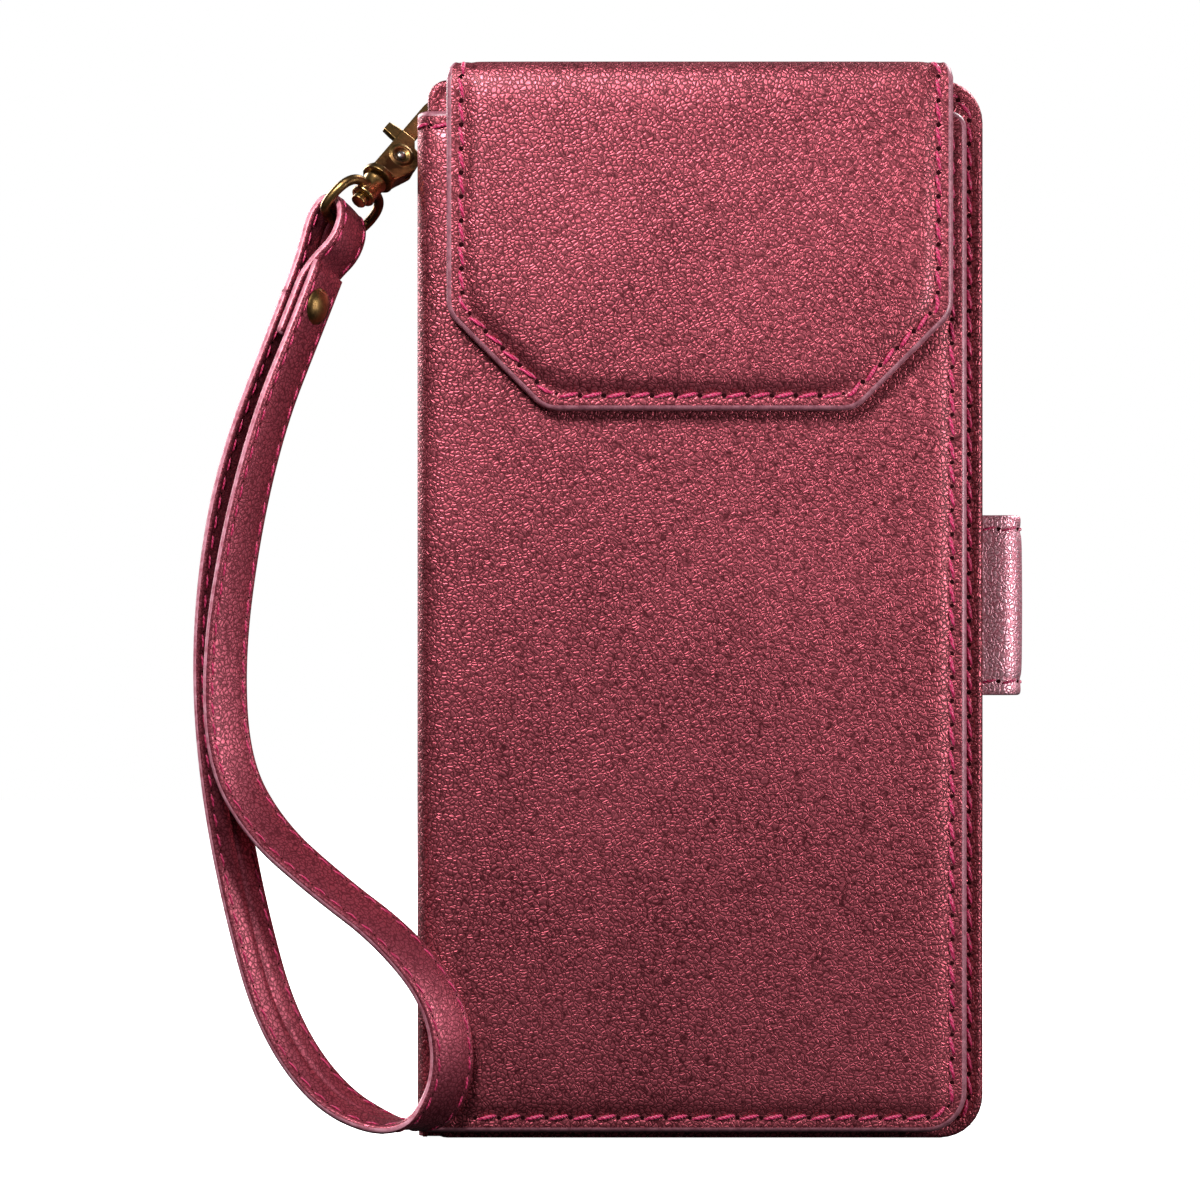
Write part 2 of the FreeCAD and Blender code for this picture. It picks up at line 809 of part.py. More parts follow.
def clasp_small_parts():
    """The lever's pin and spring, and the stud that the bail turns on."""
    half = size("clasp_half")
    pin = Part.makeCylinder(size("pivot_radius"), 2 * half, V(PIVOT_ACROSS, PIVOT_UP, -half), Z_AXIS)
    solid_feature("clasp_pin", pin, CLASP_FRAME)
    spring = Part.makeBox(*SPRING_SIZE, SPRING_CORNER)
    solid_feature("clasp_spring", spring, CLASP_FRAME)
    stud = Part.makeCylinder(size("stud_radius"), STUD_INNER - STUD_OUTER, V(0, STUD_OUTER, 0), Y_AXIS)
    head_place = V(0, STUD_OUTER - STUD_HEAD_THICK, 0)
    head = Part.makeCylinder(size("stud_head"), STUD_HEAD_THICK, head_place, Y_AXIS)
    solid_feature("swivel_stud", stud.fuse(head).removeSplitter(), CLASP_FRAME)


def strap_ring():
    """The ring that the hook holds, lying across the top left corner behind the front cover."""
    outward = (X_AXIS - CLASP_FACE * X_AXIS.dot(CLASP_FACE)).normalize()
    radius = size("ring_radius")
    normal = CLASP_FACE.cross(outward)
    ring = doc.addObject("Part::Torus", "strap_ring")
    bind(ring, Radius1="ring_radius", Radius2="ring_wire")
    ring.Placement = FreeCAD.Placement(RING_POINT + outward * radius, FreeCAD.Rotation(Z_AXIS, normal))
    piece(ring, "strap_ring")
    return RING_POINT + outward * (2 * radius), outward


def ring_tab(loop_centre, outward):
    """A leather loop round the ring's wire, with a tail sewn to the front cover's lining."""
    length = size("tab_length")
    foot_level = -size("front_inner") + size("tab_thick") / 2
    height = loop_centre.z
    start = loop_centre - CLASP_FACE * (length / 2)
    loop = Part.makeCylinder(size("tab_outer"), length, start, CLASP_FACE)
    loop = loop.cut(Part.makeCylinder(size("tab_bore"), length, start, CLASP_FACE))
    route = [loop_centre + outward * step for step in TAB_OUTWARD]
    route += [V(across, foot_level, height) for across in TAB_ACROSS]
    tail = ribbon(tangent_wire(route), Z_AXIS, size("tab_length"), size("tab_thick"))
    solid_feature("ring_tab", loop.fuse(tail).removeSplitter())


# ---- bail and wrist strap ----

BAIL_DOWN = V(-0.692, 0, -0.722).normalize()
BAR_WAY = V(0.4216, 0.8131, -0.4015).normalize()
EYE_LOW, EYE_HIGH = -4.8, -0.7
BAIL_EYE = COLLAR + CLASP_UP * ((EYE_LOW + EYE_HIGH) / 2)
BAR = BAIL_EYE + BAIL_DOWN * size("bail_length")
STRAP_DOWN = V(-0.332, -0.275, -0.903).normalize()
STRAP_BACK = BAR_WAY.cross(STRAP_DOWN).normalize()
# The bail's wire leaves the eye this far to each side, and is at full width this far down.
BAIL_ROOT, BAIL_SHOULDER = 1.7, 1.8
# The strip's middle passes the bar at this distance. Its legs meet at the throat, and its end runs this far
# past the rivet, whose cap is this thick.
FOLD_RADIUS, FOLD_THROAT, FOLD_OVERLAP = 1.65, 6.5, 6.4
CAP_THICK = 0.6


def rod(start, end, radius):
    """A round rod between two points, with a ball at each."""
    shaft = Part.makeCylinder(radius, (end - start).Length, start, end - start)
    return shaft.fuse([Part.makeSphere(radius, start), Part.makeSphere(radius, end)])


def bail():
    """A wire loop whose eye turns on the stud."""
    bore = size("stud_radius") + size("run_clearance")
    length = EYE_HIGH - EYE_LOW
    low = COLLAR + CLASP_UP * EYE_LOW
    eye = Part.makeCylinder(size("eye_radius"), length, low, CLASP_UP)
    wire, half = size("bail_wire"), size("bail_half")
    shape = eye
    for side in (-1, 1):
        root = BAIL_EYE + BAR_WAY * (side * BAIL_ROOT)
        shoulder = BAIL_EYE + BAR_WAY * (side * half) + BAIL_DOWN * BAIL_SHOULDER
        corner = BAR + BAR_WAY * (side * half)
        shape = shape.fuse([rod(root, shoulder, wire), rod(shoulder, corner, wire)])
    shape = shape.fuse(rod(BAR - BAR_WAY * half, BAR + BAR_WAY * half, wire))
    start = low - CLASP_UP * OVERRUN
    shape = shape.cut(Part.makeCylinder(bore, length + 2 * OVERRUN, start, CLASP_UP))
    return solid_feature("bail", shape)


def tangent_wire(points, share=0.45):
    """Straight runs joined by tangent arcs. Each arc takes up this share of its shorter run."""
    here = points[0]
    edges = []
    for before, corner, after in zip(points, points[1:], points[2:]):
        into, out = corner - before, after - corner
        reach = share * min(into.Length, out.Length)
        turn = into.getAngle(out)
        into.normalize()
        out.normalize()
        start, end = corner - into * reach, corner + out * reach
        radius = reach / math.tan(turn / 2)
        inward = (out - into).normalize()
        middle = corner + inward * (radius / math.cos(turn / 2) - radius)
        edges += [line(here, start), arc(start, middle, end)]
        here = end
    edges.append(line(here, points[-1]))
    return Part.Wire(edges)


def ribbon(path, width_way, width, thick):
    """A flat strip along a path, whose width keeps one direction."""
    start = path.Edges[0].valueAt(path.Edges[0].FirstParameter)
    along = path.Edges[0].tangentAt(path.Edges[0].FirstParameter)
    across = V(width_way).normalize()
    out = across.cross(along).normalize()
    half_width, half_thick = across * (width / 2), out * (thick / 2)
    corners = [
        start - half_width - half_thick,
        start + half_width - half_thick,
        start + half_width + half_thick,
        start - half_width + half_thick,
    ]
    section = Part.makePolygon(corners + corners[:1])
    sweep = Part.BRepOffsetAPI.MakePipeShell(path)
    sweep.setBiNormalMode(across)
    sweep.add(section, False, False)
    sweep.build()
    sweep.makeSolid()
    return Part.Solid(sweep.shape())


def on_strap(down, back):
    """A point in the strap's own plane under the bar."""
    return BAR + STRAP_DOWN * down + STRAP_BACK * back


def strap_route():
    """The strip from its cut end at the rivet, down the inner leg, round the loop and up the outer leg."""
    pitch = size("layer_pitch")
    reach = size("rivet_reach")
    return [
        on_strap(8.0, -pitch),
        on_strap(17.5, -pitch),
        V(-65.6, -28.2, 108.5),
        V(-69.8, -28.6, 91.5),
        V(-72.4, -28.7, 73.0),
        V(-71.6, -28.9, 57.0),
        V(-66.0, -29.1, 47.0),
        V(-57.0, -29.3, 39.0),
        V(-46.5, -29.5, 31.0),
        V(-39.1, -29.5, 21.5),
        V(-37.6, -29.5, 11.0),
        V(-41.0, -29.3, 3.6),
        V(-48.0, -28.8, 2.6),
        V(-57.0, -27.8, 7.4),
        V(-64.6, -26.8, 18.5),
        V(-69.2, -26.0, 35.0),
        V(-72.5, -25.8, 52.0),
        V(-74.1, -25.7, 70.0),
        V(-73.3, -25.7, 87.0),
        V(-70.4, -25.6, 103.0),
        on_strap(20.0, pitch),
        on_strap(reach, pitch),
    ]


def wrist_strap():
    """The strip's long stretch. It prints its length, its volume against section times length, and the
    radii of its bends."""
    path = tangent_wire(strap_route())
    width, thick = size("strap_width"), size("strap_thick")
    strip = ribbon(path, BAR_WAY, width, thick)
    arcs = [edge.Curve.Radius for edge in path.Edges if edge.Curve.TypeId == "Part::GeomCircle"]
    ratio = strip.Volume / (width * thick * path.Length)
    print(f"strap length {path.Length:.1f}, volume ratio {ratio:.3f}, radii", [round(r, 1) for r in arcs])
    return solid_feature("wrist_strap", strip)


def strap_fold():
    """The strip's end: from the outer leg's rivet over the bar and back between the legs."""
    reach = size("rivet_reach")
    rise, knee, throat = on_strap(0, FOLD_RADIUS), on_strap(0, -FOLD_RADIUS), on_strap(FOLD_THROAT, 0)
    edges = [
        line(on_strap(reach, size("layer_pitch")), rise),
        arc(rise, on_strap(-FOLD_RADIUS, 0), knee),
        line(knee, throat),
        line(throat, on_strap(reach + FOLD_OVERLAP, 0)),
    ]
    width, thick = size("strap_width"), size("strap_thick")
    runs = [ribbon(Part.Wire([edge]), BAR_WAY, width, thick) for edge in edges]
    half_width = BAR_WAY * (width / 2)
    bends = [Part.makeCylinder(thick / 2, width, spot - half_width, BAR_WAY) for spot in (throat, knee)]
    return runs[0].fuse(runs[1:] + bends)


def strap_end():
    """The fold as one solid, with the rivet's hole, and the rivet through all three layers."""
    reach, pitch, thick = size("rivet_reach"), size("layer_pitch"), size("strap_thick")
    stack = pitch + thick / 2
    shank_radius = size("rivet_shank")
    hole = Part.makeCylinder(shank_radius, 4 * stack, on_strap(reach, -2 * stack), STRAP_BACK)
    solid_feature("strap_fold", strap_fold().cut(hole).removeSplitter())
    cap = Part.makeCylinder(size("rivet_radius"), CAP_THICK, on_strap(reach, -stack - CAP_THICK), STRAP_BACK)
    shank = Part.makeCylinder(shank_radius, 2 * stack, on_strap(reach, -stack), STRAP_BACK)
    solid_feature("rivet_cap", cap.fuse(shank).removeSplitter())
    base = Part.makeCylinder(size("rivet_radius"), CAP_THICK, on_strap(reach, stack), STRAP_BACK)
    solid_feature("rivet_base", base)
    strap = next(thing for thing in pieces if thing.Label == "wrist_strap")
    strap.Shape = strap.Shape.cut(hole)


def check_pieces():
    """Stops if anything failed to build, or a sub-part isn't a valid solid."""
    failed = [thing.Label for thing in doc.Objects if {"Invalid", "Error"} & set(thing.State)]
    for thing in pieces:
        shape = thing.Shape
        if shape.isNull() or not shape.isValid() or not shape.Solids or shape.Volume <= 0:
            failed.append(thing.Label)
    if failed:
        raise RuntimeError(f"these failed: {sorted(set(failed))}")


def write_pieces():
    """One STEP file for each sub-part, named after it."""
    os.makedirs("parts", exist_ok=True)
    for thing in pieces:
        thing.Shape.exportStep(os.path.join("parts", f"{thing.Label}.step"))
    print(len(pieces), "pieces written")


back_cover()
spine()
front_cover()
flap_bridge()
flap()
closure()
clasp_body()
clasp_lever()
clasp_small_parts()
ring_tab(*strap_ring())
bail()
wrist_strap()
strap_end()
doc.recompute()
check_pieces()
write_pieces()
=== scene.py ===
"""The looks of the phone wallet case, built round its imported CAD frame.

Lengths inside this script are millimetres, and mesh_object turns them into metres. X is to the right, Z is
up, and the front faces -Y.
"""

import math

import bmesh
import bpy
import numpy as np
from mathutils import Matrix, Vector


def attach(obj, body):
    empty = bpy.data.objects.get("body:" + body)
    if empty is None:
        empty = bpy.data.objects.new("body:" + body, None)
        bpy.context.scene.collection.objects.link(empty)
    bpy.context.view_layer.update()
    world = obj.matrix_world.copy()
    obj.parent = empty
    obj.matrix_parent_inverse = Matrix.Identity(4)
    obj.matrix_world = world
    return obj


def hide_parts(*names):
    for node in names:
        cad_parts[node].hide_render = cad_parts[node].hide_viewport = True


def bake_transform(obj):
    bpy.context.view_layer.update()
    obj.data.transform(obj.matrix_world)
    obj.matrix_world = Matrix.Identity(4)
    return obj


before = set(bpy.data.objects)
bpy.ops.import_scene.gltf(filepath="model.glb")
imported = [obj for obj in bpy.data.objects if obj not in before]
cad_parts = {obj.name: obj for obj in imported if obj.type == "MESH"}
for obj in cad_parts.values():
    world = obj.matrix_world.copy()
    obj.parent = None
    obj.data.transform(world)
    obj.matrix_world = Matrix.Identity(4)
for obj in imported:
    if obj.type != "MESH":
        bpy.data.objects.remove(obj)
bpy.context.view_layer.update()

MM = 0.001


# ---- camera ----

CAMERA_PLACE = (-0.01597, -0.917, 0.0816)
CAMERA_LENS = 178.0


def add_camera():
    """The camera stands level, straight in front of the case."""
    data = bpy.data.cameras.new("camera")
    data.lens = CAMERA_LENS
    data.sensor_width = 36.0
    data.clip_start = 0.05
    data.clip_end = 20.0
    camera = bpy.data.objects.new("camera", data)
    bpy.context.scene.collection.objects.link(camera)
    camera.location = CAMERA_PLACE
    camera.rotation_euler = (math.radians(90), 0, 0)
    bpy.context.scene.camera = camera


# ---- materials ----


def srgb(red, green, blue):
    """A colour from its 0-255 display values, as linear light with full alpha."""
    linear = []
    for value in (red, green, blue):
        share = value / 255
        linear.append(share / 12.92 if share <= 0.04045 else ((share + 0.055) / 1.055) ** 2.4)
    return (*linear, 1.0)


class Nodes:
    """Short ways to add nodes to one material."""

    def __init__(self, name):
        self.material = bpy.data.materials.new(name)
        self.material.use_nodes = True
        self.tree = self.material.node_tree
        self.shader = self.tree.nodes["Principled BSDF"]
        self.place = self.tree.nodes.new("ShaderNodeTexCoord").outputs["Object"]

    def add(self, kind, inputs=None, **settings):
        """A node with these settings. inputs maps a socket to a value or to another node's output."""
        node = self.tree.nodes.new(kind)
        for key, value in settings.items():
            setattr(node, key, value)
        for socket, value in (inputs or {}).items():
            if isinstance(value, bpy.types.NodeSocket):
                self.tree.links.new(value, node.inputs[socket])
            else:
                node.inputs[socket].default_value = value
        return node

    def math(self, operation, *values):
        """The result of a sum over sockets or numbers."""
        return self.add("ShaderNodeMath", dict(enumerate(values)), operation=operation).outputs[0]

    def noise(self, scale, detail=2.0, rough=0.5):
        inputs = {"Vector": self.place, "Scale": scale, "Detail": detail, "Roughness": rough}
        return self.add("ShaderNodeTexNoise", inputs).outputs["Fac"]

    def spread(self, value, low, high, low_out=0.0, high_out=1.0):
        """value moved from low..high to low_out..high_out, and held inside it."""
        inputs = {0: value, 1: low, 2: high, 3: low_out, 4: high_out}
        return self.add("ShaderNodeMapRange", inputs).outputs[0]

    def blend(self, share, first, second):
        """A mix of two colours."""
        node = self.add("ShaderNodeMix", {"Factor": share}, data_type="RGBA")
        for socket, value in ((6, first), (7, second)):
            if isinstance(value, bpy.types.NodeSocket):
                self.tree.links.new(value, node.inputs[socket])
            else:
                node.inputs[socket].default_value = value
        return node.outputs[2]

    def link(self, value, socket):
        self.tree.links.new(value, self.shader.inputs[socket])

    def fixed(self, **values):
        """Values that are the same all over the surface. An underscore stands for a space in a socket's
        name."""
        for name, value in values.items():
            self.shader.inputs[name.replace("_", " ")].default_value = value

    def bump(self, height, strength, distance):
        inputs = {"Height": height, "Strength": strength, "Distance": distance * MM}
        self.link(self.add("ShaderNodeBump", inputs).outputs["Normal"], "Normal")


GRAIN_SCALE = 1500.0
GRAIN_WARP_SCALE = 600.0
GRAIN_WARP_REACH = (0.0011, 0.0011, 0.0011)


def leather(name, light, dark, metallic, rough, grain=1.0):
    """Pearly leather with a pebbled grain of about two thirds of a millimetre."""
    nodes = Nodes(name)
    warp = nodes.add("ShaderNodeTexNoise", {"Vector": nodes.place, "Scale": GRAIN_WARP_SCALE, "Detail": 1.0})
    offset = nodes.add(
        "ShaderNodeVectorMath",
        {0: warp.outputs["Color"], 1: (0.5, 0.5, 0.5)},
        operation="SUBTRACT",
    ).outputs[0]
    moved = nodes.add(
        "ShaderNodeVectorMath",
        {0: offset, 1: GRAIN_WARP_REACH, 2: nodes.place},
        operation="MULTIPLY_ADD",
    )
    cells = nodes.add(
        "ShaderNodeTexVoronoi",
        {"Vector": moved.outputs[0], "Scale": GRAIN_SCALE},
        feature="DISTANCE_TO_EDGE",
    ).outputs["Distance"]
    pebble = nodes.spread(cells, 0.0, 0.26)
    fine = nodes.noise(1900.0, 2.0, 0.6)
    height = nodes.math("ADD", nodes.math("MULTIPLY", pebble, 0.75), nodes.math("MULTIPLY", fine, 0.32))
    cloud = nodes.noise(38.0, 3.0, 0.55)
    tone = nodes.math("ADD", height, nodes.spread(cloud, 0.3, 0.7, -0.07, 0.07))
    colour = nodes.blend(nodes.spread(tone, 0.18, 0.72), dark, light)
    nodes.link(colour, "Base Color")
    nodes.link(nodes.spread(height, 0.3, 1.0, rough + 0.12, rough - 0.04), "Roughness")
    nodes.bump(height, 0.75 * grain, 0.1)
    nodes.fixed(Metallic=metallic, Specular_IOR_Level=0.5, Coat_Weight=0.25, Coat_Roughness=0.42)
    return nodes.material


def edge_paint(name, light, dark):
    """The rubbery paint on cut edges, with faint brush marks along the layers."""
    nodes = Nodes(name)
    marks = nodes.noise(900.0, 3.0, 0.6)
    nodes.link(nodes.blend(nodes.spread(marks, 0.35, 0.65), dark, light), "Base Color")
    nodes.link(nodes.spread(marks, 0.3, 0.7, 0.36, 0.5), "Roughness")
    nodes.bump(marks, 0.25, 0.05)
    nodes.fixed(Coat_Weight=0.15, Coat_Roughness=0.3)
    return nodes.material


def thread(name, light, dark):
    """Sewing thread, with its twist as slanting stripes."""
    nodes = Nodes(name)
    wave = nodes.add(
        "ShaderNodeTexWave",
        {"Vector": nodes.place, "Scale": 900.0, "Distortion": 1.5, "Detail": 1.0, "Detail Scale": 2.0},
        wave_type="BANDS",
        bands_direction="DIAGONAL",
    ).outputs["Fac"]
    nodes.link(nodes.blend(wave, dark, light), "Base Color")
    nodes.bump(wave, 0.5, 0.06)
    nodes.fixed(Roughness=0.42, Sheen_Weight=0.25, Sheen_Roughness=0.4)
    return nodes.material


WEAVE_SCALE = 4400.0 / 6.283


def cloth(name, light, dark):
    """Fine woven lining: two crossed sets of threads over a soft variation."""
    nodes = Nodes(name)
    threads = []
    for direction in ("X", "Z"):
        threads.append(
            nodes.add(
                "ShaderNodeTexWave",
                {"Vector": nodes.place, "Scale": WEAVE_SCALE, "Distortion": 0.6, "Detail": 1.0},
                wave_type="BANDS",
                bands_direction=direction,
            ).outputs["Fac"]
        )
    weave = nodes.math("MULTIPLY", nodes.math("ADD", *threads), 0.5)
    tone = nodes.math("ADD", weave, nodes.spread(nodes.noise(60.0, 3.0), 0.3, 0.7, -0.15, 0.15))
    nodes.link(nodes.blend(nodes.spread(tone, 0.0, 1.0), dark, light), "Base Color")
    nodes.bump(weave, 0.5, 0.08)
    nodes.fixed(Roughness=0.85, Sheen_Weight=0.35, Sheen_Roughness=0.5)
    return nodes.material


def metal(name, light, dark, rough):
    """Metal with a patina: darker and duller in patches, brighter where it is rubbed."""
    nodes = Nodes(name)
    patches = nodes.noise(260.0, 4.0, 0.62)
    scratches = nodes.noise(2400.0, 2.0, 0.5)
    share = nodes.spread(nodes.math("ADD", patches, nodes.math("MULTIPLY", scratches, 0.15)), 0.42, 0.72)
    nodes.link(nodes.blend(share, dark, light), "Base Color")
    nodes.link(nodes.spread(share, 0.0, 1.0, rough + 0.16, rough), "Roughness")
    nodes.bump(nodes.math("ADD", patches, nodes.math("MULTIPLY", scratches, 0.3)), 0.12, 0.08)
    nodes.fixed(Metallic=1.0)
    return nodes.material


def moulded(name, light, dark, rough=0.5, scale=2600.0):
    """Moulded or pressed material with a fine spark texture."""
    nodes = Nodes(name)
    spark = nodes.noise(scale, 2.0, 0.6)
    cloud = nodes.noise(45.0, 2.0)
    tone = nodes.math("ADD", nodes.math("MULTIPLY", spark, 0.6), nodes.math("MULTIPLY", cloud, 0.4))
    nodes.link(nodes.blend(nodes.spread(tone, 0.35, 0.65), dark, light), "Base Color")
    nodes.link(nodes.spread(spark, 0.3, 0.7, rough - 0.06, rough + 0.08), "Roughness")
    nodes.bump(spark, 0.35, 0.05)
    return nodes.material


LEATHER = leather("grained_leather", srgb(188, 88, 102), srgb(84, 22, 32), metallic=0.85, rough=0.42)
STRAP_LEATHER = leather(
    "strap_leather", srgb(174, 80, 97), srgb(104, 32, 46), metallic=0.8, rough=0.42, grain=0.45
)
PAINT = edge_paint("edge_paint", srgb(170, 108, 122), srgb(136, 80, 93))
# The closure strap is the case's burgundy leather. Its pale pink colours are a painted highlight, so the tab
# looks brightly lit.
CLOSURE_LEATHER_HIGHLIGHT = leather(
    "closure_leather", srgb(255, 196, 210), srgb(210, 124, 142), metallic=0.85, rough=0.45, grain=0.9
)
# The strap's cut edges are painted. This paint is much lighter than the case's edge paint, and the extra
# lightness is a painted highlight along the lit edges.
STRAP_EDGE_PAINT_AND_HIGHLIGHT = edge_paint("strap_edge_paint_and_highlight", srgb(232, 160, 178), srgb(190, 104, 122))
THREAD = thread("sewing_thread", srgb(222, 62, 116), srgb(150, 22, 62))
# The needle holes' near-black red is painted shade. It stands for the dark inside of each hole and lies on
# flat discs over the surface.
PAINTED_HOLE_SHADE = moulded("needle_hole_painted_shade", srgb(44, 8, 14), srgb(22, 3, 6), 0.9)
for node in PAINTED_HOLE_SHADE.node_tree.nodes:
    if node.type == "BSDF_PRINCIPLED":
        node.inputs["Specular IOR Level"].default_value = 0.05
LINING = cloth("lining_cloth", srgb(134, 52, 66), srgb(92, 30, 42))
BOARD = moulded("stiff_board", srgb(150, 132, 108), srgb(112, 96, 76), 0.8, 900.0)
PLASTIC = moulded("shell_plastic", srgb(38, 34, 36), srgb(24, 21, 23), 0.5)
MAGNET = metal("magnet_steel", srgb(190, 190, 194), srgb(130, 130, 136), 0.3)
BRASS = metal("antique_brass", srgb(186, 148, 92), srgb(74, 52, 32), 0.27)
STEEL = metal("pin_steel", srgb(200, 198, 194), srgb(120, 116, 112), 0.25)


# ---- mesh helpers ----


def mesh_object(name, points, faces, materials, marks=None):
    """A mesh object from points in millimetres. marks gives the material number of each face."""
    mesh = bpy.data.meshes.new(name)
    mesh.from_pydata((np.asarray(points, float) * MM).tolist(), [], [list(face) for face in faces])
    for material in materials:
        mesh.materials.append(material)
    if marks is not None:
        mesh.polygons.foreach_set("material_index", np.asarray(marks, np.int32))
    work = bmesh.new()
    work.from_mesh(mesh)
    bmesh.ops.recalc_face_normals(work, faces=work.faces)
    work.to_mesh(mesh)
    work.free()
    mesh.polygons.foreach_set("use_smooth", [True] * len(mesh.polygons))
    mesh.update()
    thing = bpy.data.objects.new(name, mesh)
    bpy.context.scene.collection.objects.link(thing)
    return thing


def ring_shell(rings, marks=None, closed_path=False):
    """Points, faces and face marks of a shell through rings of equal length. Open shells get a cap at each
    end. marks has one number for each gap between rings, then the two caps' numbers. Without it, every
    number is 0."""
    count, size = len(rings), len(rings[0])
    marks = marks or [0] * (count + 1)
    points = np.concatenate(rings)
    faces, numbers = [], []
    gaps = count if closed_path else count - 1
    for gap in range(gaps):
        here, there = gap * size, ((gap + 1) % count) * size
        for step in range(size):
            after = (step + 1) % size
            faces.append((here + step, here + after, there + after, there + step))
            numbers.append(marks[gap])
    if not closed_path:
        faces.append(tuple(range(size)))
        faces.append(tuple((count - 1) * size + step for step in range(size)))
        numbers += list(marks[-2:])
    return points, faces, numbers


ARC_STEPS = 8
SHARPEST = 0.05


def outline(corners, radii, inset=0.0, step=2.0):
    """A convex outline, anticlockwise, with rounded corners and moved inwards by inset. The number of
    points doesn't depend on inset, so that two insets can be joined point by point."""
    corners = [np.array(corner, float) for corner in corners]
    total = len(corners)
    starts, ends, arcs = [], [], []
    for number in range(total):
        before, corner, after = corners[number - 1], corners[number], corners[(number + 1) % total]
        into = (corner - before) / np.linalg.norm(corner - before)
        out = (after - corner) / np.linalg.norm(after - corner)
        turn = math.acos(np.clip(into @ out, -1, 1))
        inward = (out - into) / np.linalg.norm(out - into)
        moved = corner + inward * (inset / math.cos(turn / 2))
        radius = max(radii[number] - inset, SHARPEST)
        reach = radius * math.tan(turn / 2)
        centre = moved + inward * (radius / math.cos(turn / 2))
        first, last = moved - into * reach, moved + out * reach
        starts.append(first)
        ends.append(last)
        angles = np.linspace(0, turn, ARC_STEPS + 1)
        arm = first - centre
        arcs.append([centre + rotated(arm, angle) for angle in angles])
    points = []
    for number in range(total):
        points += arcs[number]
        following = (number + 1) % total
        length = np.linalg.norm(corners[following] - corners[number])
        pieces = max(1, math.ceil(length / step))
        for part in range(1, pieces):
            share = part / pieces
            points.append(ends[number] * (1 - share) + starts[following] * share)
    return np.array(points)


def rotated(arm, angle):
    """A 2-D arm turned anticlockwise."""
    cos, sin = math.cos(angle), math.sin(angle)
    return np.array((arm[0] * cos - arm[1] * sin, arm[0] * sin + arm[1] * cos))


def around(sides):
    """Cosine and sine of evenly spaced angles, once round."""
    angles = [2 * math.pi * corner / sides for corner in range(sides)]
    return [(math.cos(angle), math.sin(angle)) for angle in angles]


def directions(line):
    """The direction of travel at each point of a line."""
    ways = np.gradient(line, axis=0)
    return ways / np.linalg.norm(ways, axis=1)[:, None]


def travelled(path):
    """The distance along a path at each of its points."""
    steps = np.linalg.norm(np.diff(path, axis=0), axis=1)
    return np.concatenate([[0], np.cumsum(steps)])


def smooth_step(value, low, high):
    """0 below low, 1 above high, and smooth between them."""
    share = np.clip((value - low) / (high - low), 0, 1)
    return share * share * (3 - 2 * share)


def wall_distance(points, walls, soft=1.2):
    """How far points lie inside the nearest of the walls, each (a point on it, its inward direction), with
    the corners between walls softened."""
    distances = []
    for spot, inward in walls:
        inward = np.array(inward, float) / np.linalg.norm(inward)
        distances.append((points - np.array(spot, float)) @ inward)
    stack = np.array(distances)
    lowest = stack.min(0)
    return lowest - soft * np.log(np.exp(-(stack - lowest) / soft).sum(0))


# Height of a padded panel's surface over its edge, by distance from the edge. The stitches lie in the dip.
PAD_DISTANCES = (0.0, 0.7, 1.6, 2.2, 2.6, 3.1, 3.7, 4.4, 5.4, 7.5, 12.0, 25.0)
PAD_HEIGHTS = (0.0, 0.0, -0.02, -0.16, -0.08, 0.16, 0.5, 0.76, 0.92, 1.0, 1.06, 1.12)
# The insets of a padded panel's rings.
RINGS = (
    0.75, 1.2, 1.6, 1.95, 2.2, 2.45, 2.75, 3.1, 3.5, 3.9, 4.4, 5.0, 5.8, 6.8, 8.0, 10.0, 12.5, 15.5, 19.0,
    23.0,
)
# A painted edge from its rear to its front: inset and depth under the front surface, as a share of the
# thickness for the rear ones.
EDGE_REAR = ((1.2, 1.0), (0.45, 1.0), (0.12, 0.93), (0.0, 0.8))
EDGE_FRONT = ((0.0, 0.85), (0.08, 0.48), (0.28, 0.2), (0.55, 0.05))


def padded_panel(name, corners, radii, walls, thick, lift, bend, materials, crown):
    """A padded panel drawn flat and then bent. thick(points) is its thickness, lift(points) the share of
    the padding under each point, and bend(points, depth) puts flat points into space, depth below the front
    surface."""
    face, paint, back = 0, 1, 2
    rings, marks = [], []

    def add(inset, depth, mark):
        flat = outline(corners, radii, inset)
        rings.append(bend(flat, depth(flat)))
        marks.append(mark)

    def padding(flat):
        return -crown * lift(flat) * np.interp(wall_distance(flat, walls), PAD_DISTANCES, PAD_HEIGHTS)

    for inset in reversed(RINGS[::4]):
        add(inset, thick, back)
    for inset, share in EDGE_REAR:
        add(inset, lambda flat, share=share: thick(flat) * share, paint if inset < 1 else back)
    for inset, depth in EDGE_FRONT:
        add(inset, lambda flat, depth=depth: np.full(len(flat), depth), paint)
    for inset in RINGS:
        add(inset, padding, face)
    marks.pop()
    points, faces, numbers = ring_shell(rings, marks + [back, face])
    return mesh_object(name, points, faces, materials, numbers)


STITCH_SIDES, STITCH_SECTIONS = 6, 7
HOLE_SIDES = 8
# A needle hole's outer and inner rim: half length and half width as shares of its size, and height over the
# surface.
HOLE_RIMS = ((0.8, 1.05, -0.05), (0.56, 0.7, 0.045))


